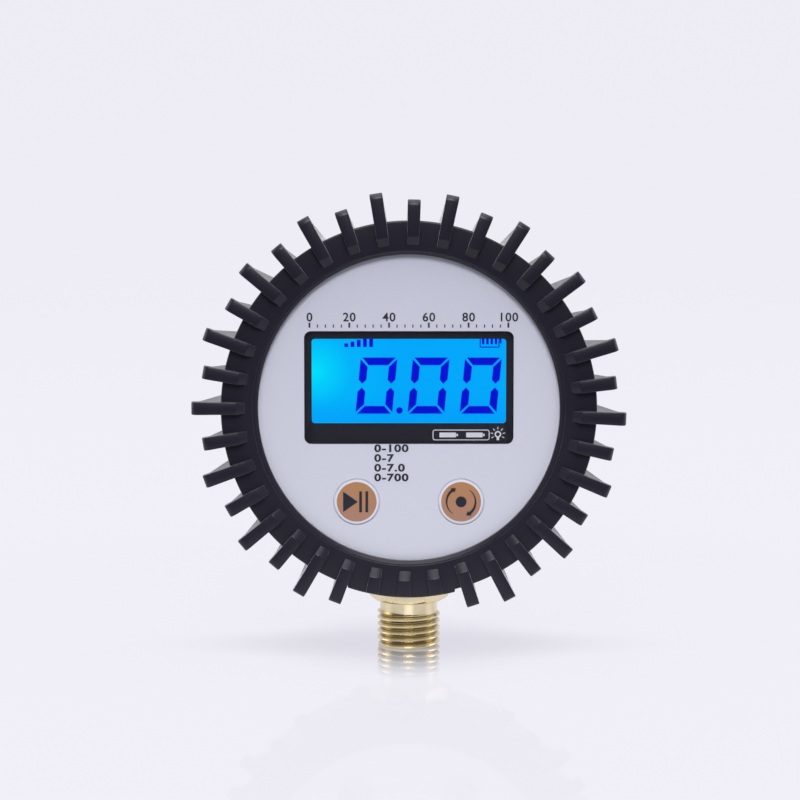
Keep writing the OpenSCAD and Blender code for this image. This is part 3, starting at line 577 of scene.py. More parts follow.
def lathe(bm, corners, steps):
    """Spins a closed outline of (radius, height, corner radius) about the Z axis."""
    outline = [bm.verts.new((p.x, 0, p.y)) for p in rounded(corners)]
    edges = [bm.edges.new((outline[i - 1], v)) for i, v in enumerate(outline)]
    bmesh.ops.spin(
        bm, geom=outline + edges, cent=(0, 0, 0), axis=(0, 0, 1), angle=math.tau,
        steps=steps, use_merge=True)
    bmesh.ops.remove_doubles(bm, verts=bm.verts, dist=0.0001 * MM)
    bmesh.ops.recalc_face_normals(bm, faces=bm.faces)


def push_out(bm, points, vec):
    """Fills a closed outline of x, y, z points and pushes it along a vector."""
    face = bm.faces.new([bm.verts.new(p) for p in points])
    made = bmesh.ops.extrude_face_region(bm, geom=[face])["geom"]
    bmesh.ops.translate(bm, vec=vec, verts=verts_of(made))


def soften(bm, edges, radius, segments=2):
    bmesh.ops.bevel(
        bm, geom=edges, offset=radius, segments=segments, profile=0.5, affect="EDGES",
        material=-1)


def join_into(bm, mesh):
    """Moves a mesh into a bmesh."""
    bm.from_mesh(mesh)
    bpy.data.meshes.remove(mesh)


def curve_mesh(curve, place=Matrix()):
    """Turns a curve into a mesh, and moves it to its place."""
    holder = bpy.data.objects.new("curve", curve)
    mesh = bpy.data.meshes.new_from_object(holder)
    mesh.transform(place)
    bpy.data.objects.remove(holder)
    bpy.data.curves.remove(curve)
    return mesh


def stand_up(bm, before=Matrix()):
    """Stands a piece of the head up, after a move of its own if it has one."""
    bmesh.ops.transform(bm, matrix=HEAD @ before, verts=bm.verts)


# %% [markdown]
# ## The boot's body
# The body is one turned shape: a flat rim, a lip that laps over the face with a
# sloping edge, a side that tapers to the back, and a lip behind the case.

# %% Boot outline
case_r = 37.65 * MM
boot_r = 40.7 * MM
boot_back_r = 39.6 * MM
boot_back = -17.5 * MM
back_open_r = 31.5 * MM

boot_corners = [
    (face_r, label_front, 0),
    (face_r, rim_front - 0.8 * MM, 0.25 * MM),
    (face_r + 0.75 * MM, rim_front - 0.2 * MM, 0.2 * MM),
    (face_r + 0.9 * MM, rim_front - 0.3 * MM, 0.05 * MM),
    (face_r + 1.1 * MM, rim_front, 0.15 * MM),
    (boot_r, rim_front, 0.4 * MM),
    (boot_back_r, boot_back, 2 * MM),
    (back_open_r, boot_back, 0.5 * MM),
    (back_open_r, case_back, 0),
    (case_r, case_back, 0),
    (case_r, label_front, 0),
]

# %% [markdown]
# ## The ribs
# Thirty-six ribs stand round the rim, long and short in turn, and the three above
# the stem are cut flush with its pad. They are moulded ten degrees apart, but the
# boot sits turned by a degree and a half, and its stretched rubber draws those at
# the sides towards the stem. A rib starts as the outline of its side. It is
# extruded to its width and narrowed towards the face, and its long edges rounded.

# %% Rib
rib_w = 2.8 * MM
rib_inner_w = 2.35 * MM
rib_front = 17.5 * MM
rib_start_r = 35.4 * MM
ramp_end_r = 37.3 * MM
draft_end_r = ramp_end_r + 2 * MM
long_rib_r = 47 * MM
short_rib_r = 45.2 * MM
rib_tip_back = rib_front - 2.5 * MM
rib_nose_r = 1.3 * MM
rib_nose_l = 1.6 * MM
rib_back_angle = math.radians(15)
rib_edge_r = 0.2 * MM
rib_sink = 1 * MM
root_r = boot_back_r - rib_sink
pad_r = boot_r + 0.6 * MM
pad_edge_r = 0.4 * MM

# Outlines are distances from the face's axis and forwards, with corner radii
rib_foot = [
    (rib_start_r, rim_front - rib_sink, 0),
    (rib_start_r, rim_front + 0.05 * MM, 0),
    (ramp_end_r, rib_front, 0.5 * MM),
]


def rib_side(tip_r):
    """The outline of a rib's side."""
    slope_start_r = tip_r - rib_nose_l
    root_back = rib_tip_back - (slope_start_r - root_r) / math.tan(rib_back_angle)
    return rounded(rib_foot + [
        (tip_r, rib_front, rib_nose_r),
        (tip_r, rib_tip_back, 0.3 * MM),
        (slope_start_r, rib_tip_back, 0.6 * MM),
        (root_r, root_back, 0),
        (root_r, rim_front - rib_sink, 0),
    ], 4)


def flush_side():
    """The same outline for a rib that is cut off flush with the pad."""
    return rounded(rib_foot + [
        (pad_r - pad_edge_r, rib_front, 0.5 * MM),
        (pad_r, rim_front - rib_sink, 0),
    ], 4)


def add_rib(bm, angle, side):
    rib = bmesh.new()
    push_out(rib, [(p.x, -rib_w / 2, p.y) for p in side], (0, rib_w, 0))
    bmesh.ops.recalc_face_normals(rib, faces=rib.faces)
    soften(
        rib, [e for e in rib.edges if abs(e.verts[0].co.y - e.verts[1].co.y) < rib_sink],
        rib_edge_r)
    for vert in rib.verts:
        share = (vert.co.x - rib_start_r) / (draft_end_r - rib_start_r)
        width = rib_inner_w + (rib_w - rib_inner_w) * min(max(share, 0), 1)
        vert.co.y *= width / rib_w
    bmesh.ops.rotate(
        rib, verts=rib.verts, cent=(0, 0, 0), matrix=Matrix.Rotation(angle, 3, "Z"))
    join_into(bm, take_mesh("rib", rib))


# %% [markdown]
# ## The pad and the stem's hole
# Round the stem the boot is a little thicker. This pad is a piece of a ring, turned
# a little and pushed out from the back of the case to the rim. A boolean modifier
# cuts the stem's hole.

# %% Pad and hole
stem_hole_r = 9.59 * MM
stem_hole_l = 10 * MM
stem_hole_up = 1 * MM
pad_half_angle = math.radians(16.6)
pad_turn = math.radians(-2.4)
pad_steps = 16
pad_below_rim = 0.02 * MM


def add_pad(bm):
    middle = pad_turn - math.pi / 2
    angles = [middle + pad_half_angle * (2 * k / pad_steps - 1) for k in range(pad_steps + 1)]
    outline = [polar(pad_r, a) for a in angles] + [polar(root_r, a) for a in reversed(angles)]
    pad = bmesh.new()
    push_out(
        pad, [(x, y, case_back) for x, y in outline],
        (0, 0, rim_front - case_back - pad_below_rim))
    bmesh.ops.recalc_face_normals(pad, faces=pad.faces)
    outer = [
        e for e in pad.edges
        if all(v.co.xy.length > boot_r for v in e.verts) and e.calc_face_angle(0) > 0.5
    ]
    soften(pad, outer, pad_edge_r, 3)
    join_into(bm, take_mesh("pad", pad))


def cut_stem_hole(piece):
    bm = bmesh.new()
    bmesh.ops.create_cone(
        bm, segments=96, radius1=stem_hole_r, radius2=stem_hole_r, depth=stem_hole_l,
        cap_ends=True)
    bmesh.ops.translate(bm, vec=(0, 0, head_z - boot_r + stem_hole_up), verts=bm.verts)
    cutter = add_object("cutter", take_mesh("cutter", bm))
    hole = piece.modifiers.new("stem_hole", "BOOLEAN")
    hole.object = cutter
    hole.operation = "DIFFERENCE"
    hole.solver = "EXACT"
    hole.use_self = True
    depsgraph = bpy.context.evaluated_depsgraph_get()
    piece.data = bpy.data.meshes.new_from_object(piece.evaluated_get(depsgraph))
    piece.modifiers.clear()
    bpy.data.objects.remove(cutter)


# %% [markdown]
# ## The boot, put together
# The stem pulls the stretched lip down, so its opening is a hair taller than it is
# wide. The ribs stay a piece of their own, since they would be the same rubber.

# %% Build the boot
boot_turn = 1.45
rib_crowding = 1.2
rib_count = 36
flush_angle = 15
lip_pull = 0.01

bm = bmesh.new()
lathe(bm, boot_corners, 180)
for vert in bm.verts:
    share = (rib_start_r - vert.co.xy.length) / (rib_start_r - face_r)
    if vert.co.z > 0 and share > 0:
        vert.co.x *= 1 - lip_pull * min(share, 1)
        vert.co.y *= 1 + lip_pull * min(share, 1)
add_pad(bm)
stand_up(bm)
boot = finish("rubber_boot_moulded", bm, rubber)
cut_stem_hole(boot)
bm = bmesh.new()
for i in range(rib_count):
    degrees = 90 + 360 / rib_count * i
    placed = degrees - boot_turn - rib_crowding * math.cos(math.radians(degrees))
    side = rib_side(short_rib_r if i % 2 == 0 else long_rib_r)
    if abs(degrees - 270) < flush_angle:
        side = flush_side()
    add_rib(bm, math.radians(placed), side)
stand_up(bm)
ribs = finish("rubber_boot_ribs", bm, rubber)
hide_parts("rubber_boot")
print("boot faces:", len(boot.data.polygons), "rib faces:", len(ribs.data.polygons))

# %% [markdown]
# ## The brass stem
# A thread is a profile carried round a helix. One pitch of it is spun about the
# axis while it rises by one pitch a turn, so neighbouring turns become one skin.
# That is bevelled, trimmed level at both ends and closed round the air passage.

# %% Thread
thread_r = 7 * MM
thread_root_r = 6.25 * MM
thread_pitch = 1.5 * MM
thread_crest = 0.3 * MM
thread_root_flat = 0.2 * MM
thread_l = 7.55 * MM
thread_bevel = 0.4 * MM
relief_r = 6.35 * MM
port_r = 1.6 * MM
port_top = 20 * MM
turn_steps = 96
flat_edge = 0.001 * MM


def carry_loop(bm, edges, stations):
    """Extrudes an open edge through rings, each given as (radius, height)."""
    for radius, height in stations:
        made = bmesh.ops.extrude_edge_only(bm, edges=edges)["geom"]
        edges = edges_of(made)
        for vert in verts_of(made):
            vert.co = (*(vert.co.xy.normalized() * radius), height)
    return edges


def add_thread(bm):
    flank = (thread_pitch - thread_crest - thread_root_flat) / 2
    profile = [
        (thread_root_r, 0),
        (thread_root_r, thread_root_flat),
        (thread_r, thread_root_flat + flank),
        (thread_r, thread_root_flat + flank + thread_crest),
        (thread_root_r, thread_pitch),
    ]
    turns = math.ceil(thread_l / thread_pitch) + 3
    below = -2 * thread_pitch
    verts = [bm.verts.new((r, 0, below + z)) for r, z in profile]
    edges = [bm.edges.new(pair) for pair in zip(verts, verts[1:])]
    bmesh.ops.spin(
        bm, geom=verts + edges, cent=(0, 0, 0), axis=(0, 0, 1), angle=math.tau * turns,
        steps=turn_steps * turns, dvec=(0, 0, thread_pitch / turn_steps))
    bmesh.ops.remove_doubles(bm, verts=bm.verts, dist=0.005 * MM)
    for vert in bm.verts:
        limit = thread_r - thread_bevel + max(vert.co.z, 0)
        if vert.co.xy.length > limit:
            vert.co.xy *= limit / vert.co.xy.length
    for height, side in ((0, -1), (thread_l, 1)):
        bmesh.ops.bisect_plane(
            bm, geom=bm.verts[:] + bm.edges[:] + bm.faces[:], plane_co=(0, 0, height),
            plane_no=(0, 0, side), clear_outer=True)
    for height, stations in (
        (0, [(port_r, 0), (port_r, port_top)]),
        (thread_l, [(relief_r * 0.8, thread_l)]),
    ):
        loop = [
            e for e in bm.edges
            if e.is_boundary and all(abs(v.co.z - height) < flat_edge for v in e.verts)
        ]
        bmesh.ops.contextual_create(bm, geom=carry_loop(bm, loop, stations))
    bmesh.ops.recalc_face_normals(bm, faces=bm.faces)


# %% [markdown]
# ## Relief, hexagon and barrel
# Above the thread are a turned relief and the wrench hexagon, whose lower corners
# are turned to a cone of thirty degrees. A ring of points pulled out to the
# hexagon's outline, and lifted where the cone cuts it, gives the arc on each flat.

# %% Hexagon
hex_z = 10.15 * MM
hex_top = 16.1 * MM
hex_flats = 15.5 * MM
hex_turn = math.radians(-5.3)
hex_cone_r = 0.95 * hex_flats / 2
hex_steps = 144
relief_lap = 0.4 * MM
barrel_r = 6.5 * MM
barrel_top = 35.65 * MM
flange_z = 20.15 * MM
flange_r = 8.5 * MM
flange_t = 3 * MM
pocket_r = 5.35 * MM
pocket_z = 27.65 * MM


def hex_radius(angle):
    """Distance from the axis to the hexagon's outline in one direction."""
    part = (angle - hex_turn) % math.radians(60) - math.radians(30)
    return hex_flats / 2 / math.cos(part)


def add_hexagon(bm):
    ring = bmesh.ops.create_circle(
        bm, segments=hex_steps, radius=relief_r, cap_ends=False)["verts"]
    bmesh.ops.rotate(
        bm, verts=ring, cent=(0, 0, 0), matrix=Matrix.Rotation(hex_turn, 3, "Z"))
    bmesh.ops.translate(bm, vec=(0, 0, thread_l - relief_lap), verts=ring)
    edges = list({e for v in ring for e in v.link_edges})
    bmesh.ops.contextual_create(bm, geom=edges)
    edges = carry_loop(bm, edges, [(relief_r, hex_z), (hex_cone_r, hex_z)])
    cone = math.tan(math.radians(30))
    for level in ("cone", "top"):
        made = bmesh.ops.extrude_edge_only(bm, edges=edges)["geom"]
        edges = edges_of(made)
        for vert in verts_of(made):
            angle = math.atan2(vert.co.y, vert.co.x)
            radius = hex_radius(angle)
            rise = (radius - hex_cone_r) * cone
            vert.co = (*polar(radius, angle), hex_z + rise if level == "cone" else hex_top)
    edges = carry_loop(bm, edges, [
        (barrel_r, hex_top),
        (barrel_r, flange_z),
        (flange_r, flange_z),
        (flange_r, flange_z + flange_t),
        (barrel_r, flange_z + flange_t),
        (barrel_r, barrel_top),
        (pocket_r, barrel_top),
        (pocket_r, pocket_z),
    ])
    bmesh.ops.contextual_create(bm, geom=edges)
    bmesh.ops.recalc_face_normals(bm, faces=bm.faces)
    soften(bm, [
        e for e in bm.edges
        if len(e.link_faces) == 2 and e.calc_face_angle(0) > math.radians(25)
    ], 0.12 * MM)


# %% [markdown]
# ## The stem, put together
# The relief starts a little inside the top of the thread, so the two meet unseen.

# %% Build the stem
bm = bmesh.new()
add_thread(bm)
upper = bmesh.new()
add_hexagon(upper)
join_into(bm, take_mesh("upper", upper))
stem = finish("brass_stem_turned", bm, brass, angle=28)
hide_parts("brass_stem")
print("stem faces:", len(stem.data.polygons))

# %% [markdown]
# ## Prints
# A print is a very thin slab of ink: an outline, filled, and raised by a few
# hundredths of a millimetre. Plain numbers come from Blender's own letter shapes,
# made a mesh before they are placed.

# %% Print helpers
ink_t = 0.02 * MM


def add_outline(bm, points, thickness=ink_t):
    """Fills a closed outline of head x, y points and raises it."""
    push_out(bm, [(x, y, 0) for x, y in points], (0, 0, thickness))


def add_bar(bm, x, y, w, h, radius=0, thickness=ink_t):
    """A rectangle of ink, centred on x, y, with round corners if asked."""
    corners = [(x + sx * w / 2, y + sy * h / 2, radius)
               for sx, sy in ((-1, -1), (1, -1), (1, 1), (-1, 1))]
    add_outline(bm, [tuple(p) for p in rounded(corners, 4)], thickness)


def add_dot(bm, x, y, radius, steps=40):
    add_outline(bm, [polar(radius, math.tau * k / steps, x, y) for k in range(steps)])


def add_ring(bm, x, y, outer, inner, start=0, end=math.tau, steps=48):
    """A ring or an arc of ink, from one angle to another."""
    angles = [start + (end - start) * k / steps for k in range(steps + 1)]
    for a, b in zip(angles, angles[1:]):
        add_outline(bm, [
            polar(inner, a, x, y), polar(outer, a, x, y),
            polar(outer, b, x, y), polar(inner, b, x, y)])


def add_words(bm, words, x, y, height, stretch=1.0, weight=0.0, align="LEFT"):
    """Plain numbers, as tall as height, with their lower corner at x, y."""
    capital_share = 0.72
    curve = bpy.data.curves.new("words", "FONT")
    curve.body = words
    curve.size = height / capital_share
    curve.align_x = align
    curve.offset = weight
    curve.extrude = ink_t / 2
    curve.space_character = 1.12
    place = Matrix.Translation((x, y, ink_t / 2)) @ Matrix.Scale(stretch, 4, (1, 0, 0))
    join_into(bm, curve_mesh(curve, place))


def finish_print(name, bm, material, layer, body="gauge"):
    """Lays a print on a layer of the head, which is so far in front of the stem's axis."""
    bmesh.ops.recalc_face_normals(bm, faces=bm.faces)
    stand_up(bm, Matrix.Translation((0, 0, layer)))
    finish(name, bm, material, body)


# %% [markdown]
# ## Face print
# The face carries a ruled scale with plain numbers above the window and four rows
# of plain numbers under it, in navy ink.

# %% Face scale and rows
scale_left = -21.5 * MM
scale_w = 43 * MM
scale_base = 17.45 * MM
scale_steps = 25
row_x = -7.5 * MM
row_top = -9.55 * MM
row_pitch = 2.13 * MM
row_h = 1.6 * MM

bm = bmesh.new()
for i in range(scale_steps + 1):
    tall, thick = (1.1 * MM, 0.4 * MM) if i % 5 == 0 else (0.7 * MM, 0.25 * MM)
    add_bar(bm, scale_left + scale_w * i / scale_steps, scale_base + tall / 2, thick, tall)
for i in range(6):
    add_words(bm, str(20 * i), scale_left + scale_w * i / 5, scale_base + 1.4 * MM, 1.9 * MM,
              weight=0.05 * MM, align="CENTER")
for i, words in enumerate(("0-100", "0-7", "0-7.0", "0-700")):
    add_words(bm, words, row_x, row_top - i * row_pitch, row_h, stretch=1.3, weight=0.08 * MM)
finish_print("face_print", bm, navy_ink, label_front)

# %% [markdown]
# ## Keys
# Each key is a pearl white cap with a tan disc and a navy symbol printed on it. The
# cap is turned, with a soft edge, a skirt that fills the gap round it, and a flange.

# %% Key caps
key_r = 4.87 * MM
key_front = 14.15 * MM
key_skirt_r = 5.03 * MM
key_skirt_front = 13.75 * MM
key_flange_r = 5.8 * MM
key_flange_back = plate_back - 1 * MM
key_stem_r = 1.5 * MM
plunger_front = 10.1 * MM

for word, side in (("hold", -1), ("mode", 1)):
    body = word + "_button"
    bm = bmesh.new()
    lathe(bm, [
        (0, plunger_front, 0),
        (key_stem_r, plunger_front, 0.1 * MM),
        (key_stem_r, key_flange_back, 0),
        (key_flange_r, key_flange_back, 0.1 * MM),
        (key_flange_r, plate_back, 0.1 * MM),
        (key_skirt_r, plate_back, 0),
        (key_skirt_r, key_skirt_front, 0),
        (key_r, key_skirt_front, 0),
        (key_r, key_front, 0.15 * MM),
        (0, key_front, 0),
    ], 96)
    bmesh.ops.translate(bm, vec=(side * key_side, key_up, 0), verts=bm.verts)
    stand_up(bm)
    cap = finish(word + "_key_cap", bm, key_cap, body)
    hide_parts(word + "_key")
    bm = bmesh.new()
    add_dot(bm, side * key_side, key_up, key_disc_r, 72)
    finish_print(word + "_key_disc", bm, tan_ink, key_front, body)

# %% [markdown]
# ## Key symbols
# The left symbol is a triangle and two bars. The right one is a dot between two
# arrows that chase each other clockwise, thin at the tail and wide at the head.

# %% Symbols
symbol_front = key_front + ink_t
arrow_r = 3.15 * MM
arrow_tail_w = 0.12 * MM
arrow_neck_w = 0.62 * MM
arrow_head_half = 0.68 * MM
arrow_steps = 16


def add_chasing_arrow(bm, x, y, tail, head):
    """A clockwise arc that widens from its tail to a pointed head, angles in degrees."""
    edge = []
    for side in (1, -1):
        arc = []
        for k in range(arrow_steps + 1):
            share = k / arrow_steps
            angle = math.radians(tail + (head - tail) * share)
            half = (arrow_tail_w + (arrow_neck_w - arrow_tail_w) * share) / 2
            arc.append(polar(arrow_r + side * half, angle, x, y))
        edge += arc if side == 1 else arc[::-1]
    add_outline(bm, edge)
    tip = math.radians(head - 15)
    base = math.radians(head + 2)
    add_outline(bm, [
        polar(arrow_r + arrow_head_half, base, x, y),
        polar(arrow_r, tip, x, y),
        polar(arrow_r - arrow_head_half, base, x, y),
    ])


bm = bmesh.new()
triangle_x = -key_side - 2.95 * MM
add_outline(bm, [
    (triangle_x, key_up - 2.25 * MM),
    (triangle_x + 3.2 * MM, key_up),
    (triangle_x, key_up + 2.25 * MM),
])
for x in (0.85 * MM, 2.2 * MM):
    add_bar(bm, -key_side + x, key_up, 0.6 * MM, 4.6 * MM)
finish_print("hold_key_symbol", bm, navy_ink, symbol_front, "hold_button")

bm = bmesh.new()
add_dot(bm, key_side, key_up, 1.19 * MM)
add_chasing_arrow(bm, key_side, key_up, 235, 125)
add_chasing_arrow(bm, key_side, key_up, 55, -55)
finish_print("mode_key_symbol", bm, navy_ink, symbol_front, "mode_button")

# %% [markdown]
# ## Display digits
# The display shows 0.00 in seven-segment digits that lean by five and a half
# degrees. The side segments end in a point at the waist, where the middle segment,
# which is off here, would meet them.

# %% Digits
digit_h = 12.3 * MM
digit_w = 8.0 * MM
digit_pitch = 11.35 * MM
digit_left = -11.65 * MM
digit_base = -1.52 * MM
digit_lean = math.tan(math.radians(5.5))
segment_w = 1.7 * MM
segment_gap = 0.17 * MM
point_r = 0.72 * MM
point_x = digit_left + digit_w + 1.6 * MM


def digit_segments():
    """The six lit segments of a nought, as outlines from the digit's lower corner."""
    w, h, s, g = digit_w, digit_h, segment_w, segment_gap
    middle = h / 2
    top = [(g * 2, h), (w - g * 2, h), (w - s - g, h - s), (s + g, h - s)]
    side = [
        (0, h - g * 2),
        (s, h - s - g * 2),
        (s, middle + s * 0.75),
        (s / 2, middle + g * 2.4),
        (0, middle + s * 0.75),
    ]
    upper = [top, side, [(w - x, y) for x, y in side]]
    return upper + [[(x, h - y) for x, y in outline] for outline in upper]


bm = bmesh.new()
for i in range(3):
    left = digit_left + i * digit_pitch
    for outline in digit_segments():
        leaned = [(left + x + y * digit_lean, digit_base + y) for x, y in outline]
        add_outline(bm, leaned)
add_dot(bm, point_x, digit_base + point_r, point_r)

# %% [markdown]
# ## Display symbols
# At its top edge the display has a battery sign with four cells and five bars of
# rising height. The black frame hides their upper part.

# %% Battery sign and bars
battery_left = 15.5 * MM
battery_base = 13.05 * MM
battery_w = 4.1 * MM
battery_h = 2.6 * MM
line = 0.25 * MM
bars_left = -13.6 * MM
for x, y, w, h in [
    (battery_w / 2, 0, battery_w, line),
    (battery_w / 2, battery_h, battery_w, line),
    (0, battery_h / 2, line, battery_h),
    (battery_w, battery_h / 2, line, battery_h),
    (battery_w + 0.35 * MM, battery_h / 2, 0.4 * MM, 1.0 * MM),
] + [
    ((0.65 + 0.93 * i) * MM, battery_h / 2, 0.55 * MM, battery_h - 1.2 * MM) for i in range(4)
]:
    add_bar(bm, battery_left + x, battery_base + y, w, h)
for i in range(5):
    tall = (0.8 + 0.4 * i) * MM
    add_bar(bm, bars_left + 1.35 * MM * i, battery_base + tall / 2, 0.85 * MM, tall)
finish_print("display_segments", bm, segment_on, plate_back)

# %% [markdown]
# ## Signs on the black frame
# Under the display a rounded box holds two plain cell signs, and a lamp sign stands
# beside it, in white ink on the black frame.

# %% Frame signs
frame_front = 13.0 * MM
box_x = 11.35 * MM
box_y = -6.0 * MM
box_w = 12.2 * MM
box_h = 2.15 * MM
box_line = 0.18 * MM
box_corner = 0.45 * MM
lamp_x = 19.35 * MM
lamp_y = -5.85 * MM
ray_half_w = 0.09

bm = bmesh.new()
for sy in (-1, 1):
    add_bar(bm, box_x, box_y + sy * box_h / 2, box_w - 2 * box_corner, box_line)
for sx in (-1, 1):
    add_bar(bm, box_x + sx * box_w / 2, box_y, box_line, box_h - 2 * box_corner)
    for sy in (-1, 1):
        middle = math.atan2(sy, sx)
        add_ring(bm, box_x + sx * (box_w / 2 - box_corner), box_y + sy * (box_h / 2 - box_corner),
                 box_corner + box_line / 2, box_corner - box_line / 2,
                 middle - math.pi / 4, middle + math.pi / 4, 8)
for sx in (-1, 1):
    x = box_x + sx * 2.9 * MM
    add_bar(bm, x, box_y, 3.6 * MM, 1.05 * MM, 0.15 * MM)
    add_bar(bm, x + 2.05 * MM, box_y, 0.35 * MM, 0.5 * MM)
add_ring(bm, lamp_x, lamp_y, 0.72 * MM, 0.42 * MM)
add_bar(bm, lamp_x, lamp_y - 1.0 * MM, 0.55 * MM, 0.6 * MM)
for k in range(7):
    angle = math.radians(-30 + 40 * k)
    ray = [(u, v * ray_half_w) for u, v in ((1.05, -1), (1.05, 1), (1.6, 1), (1.6, -1))]
    add_outline(bm, [
        (lamp_x + (u * math.cos(angle) - v * math.sin(angle)) * MM,
         lamp_y + (u * math.sin(angle) + v * math.cos(angle)) * MM) for u, v in ray
    ])
finish_print("frame_signs", bm, white_ink, frame_front)

# %% [markdown]
# ## Cells
# The two AAA cells show when the door is open. Each is a turned can in a plain
# green jacket with a pale band at the positive end, and the two lie head to tail.

# %% Cell jacket and cells
cell_r = 5.25 * MM
cell_l = 44.5 * MM
cell_pole_x = 24.4 * MM
cell_side = 5.5 * MM
cell_front = -6.0 * MM
nub_r = 1.8 * MM
nub_l = 0.8 * MM
cap_r = 4.3 * MM
shoulder = 1.2 * MM
base_r = 3.6 * MM
base_dish = 0.15 * MM
bare_steel = "#c9c9c6"


def lay_in_bay(bm, side, up):
    """Turns a piece that is drawn upright onto its side at one end of the bay."""
    turn = Matrix.Rotation(math.radians(-90 * side), 4, "Y")
    stand_up(bm, Matrix.Translation((side * cell_pole_x, up, cell_front)) @ turn)


def cell_jacket(name, side):
    material, tree, surface, place = new_material(name, Roughness=0.28, IOR=1.5)
    ends = (side * cell_pole_x, side * (cell_pole_x - cell_l))
    along = remap(tree, axis(tree, place, "X"), ends, (0, 1))
    colours = [(0, bare_steel), (0.045, "#d5dbd2"), (0.2, "#2b6d52"), (0.975, bare_steel)]
    metal = [(0, "#ffffff"), (0.045, "#000000"), (0.975, "#ffffff")]
    feed(tree, surface, {
        "Base Color": ramp(tree, along, colours, "CONSTANT"),
        "Metallic": ramp(tree, along, metal, "CONSTANT"),
    })
    return material


for word, side, up in (("upper", 1, cell_side), ("lower", -1, -cell_side)):
    bm = bmesh.new()
    lathe(bm, [
        (0, 0, 0),
        (nub_r, 0, 0.35 * MM),
        (nub_r, nub_l, 0.1 * MM),
        (cap_r, nub_l, 0.2 * MM),
        (cap_r, shoulder, 0.15 * MM),
        (cell_r, shoulder, 0.6 * MM),
        (cell_r, cell_l, 0.6 * MM),
        (base_r, cell_l, 0.1 * MM),
        (base_r - 0.1 * MM, cell_l - base_dish, 0.05 * MM),
        (0, cell_l - base_dish, 0),
    ], 64)
    lay_in_bay(bm, side, up)
    jacket = cell_jacket("printed_steel_jacket_" + word, side)
    cell = finish(word + "_cell_can", bm, jacket)
    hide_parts(word + "_cell")

# %% [markdown]
# ## Contact springs
# A contact spring is a cone of round wire that narrows towards the cell. A curve
# along the helix, with a round bevel, makes the wire.

# %% Springs
spring_l = 4.3 * MM
wire_r = 0.3 * MM
wire_gap = 0.02 * MM
spring_big_r = 3.6 * MM
spring_small_r = 2.4 * MM
spring_turns = 3
spring_points = 24 * spring_turns


def spring_point(share):
    radius = spring_big_r + (spring_small_r - spring_big_r) * share
    rise = wire_r + wire_gap + (spring_l - 2 * wire_r - 2 * wire_gap) * share
    return *polar(radius, math.tau * spring_turns * share), rise


for word, side, up in (("upper", -1, cell_side), ("lower", 1, -cell_side)):
    curve = bpy.data.curves.new("wire", "CURVE")
    curve.dimensions = "3D"
    curve.bevel_depth = wire_r
    curve.bevel_resolution = 3
    curve.use_fill_caps = True
    spline = curve.splines.new("POLY")
    spline.points.add(spring_points)
    for k in range(spring_points + 1):
        spline.points[k].co = (*spring_point(k / spring_points), 1)
    bm = bmesh.new()
    join_into(bm, curve_mesh(curve))
    lay_in_bay(bm, side, up)
    spring = finish(word + "_spring_wire", bm, nickel)
    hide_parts(word + "_cell_spring")

# %% [markdown]
# ## Door grip
# The battery door has a row of moulded ridges for the thumb, and a plain triangle
# that points at the edge to lift. Each ridge is a bar with round ends.

# %% Door ridges
ridge_l = 16 * MM
ridge_w = 0.9 * MM
ridge_pitch = 1.9 * MM
ridge_base = -10.2 * MM
ridge_rise = 0.5 * MM
bm = bmesh.new()
for i in range(5):
    add_bar(bm, 0, ridge_base + ridge_pitch * i, ridge_l - 1.6 * MM * i, ridge_w,
            ridge_w * 0.49, -ridge_rise)
add_outline(bm, [(-2.2 * MM, 3.2 * MM), (2.2 * MM, 3.2 * MM), (0, 0.4 * MM)], -ridge_rise)
soften(bm, [e for e in bm.edges if all(v.co.z < -ridge_rise / 2 for v in e.verts)], 0.15 * MM)
finish_print("door_grip", bm, abs_black, case_back, "door")

# %% [markdown]
# ## Studio
# The gauge stands on a pale glossy sweep: a floor that curves up into a wall, so no
# horizon shows. Nearly all its tone is its own light, with a thin soft painted shade
# at the foot and a faint mirror image that fades away from it. Near the foot the
# mirror is made stronger and greyer than the gloss gives, which adds painted shade
# there. The light ends 0.1 m in front of the gauge, which keeps it out of the window,
# but the camera still sees the sheet as pale there, so that every view has the same
# even ground.

# %% Sweep paint
pale = "#f0eff7"


def seen_by_camera(tree):
    return add_node(tree, "ShaderNodeLightPath").outputs["Is Camera Ray"]


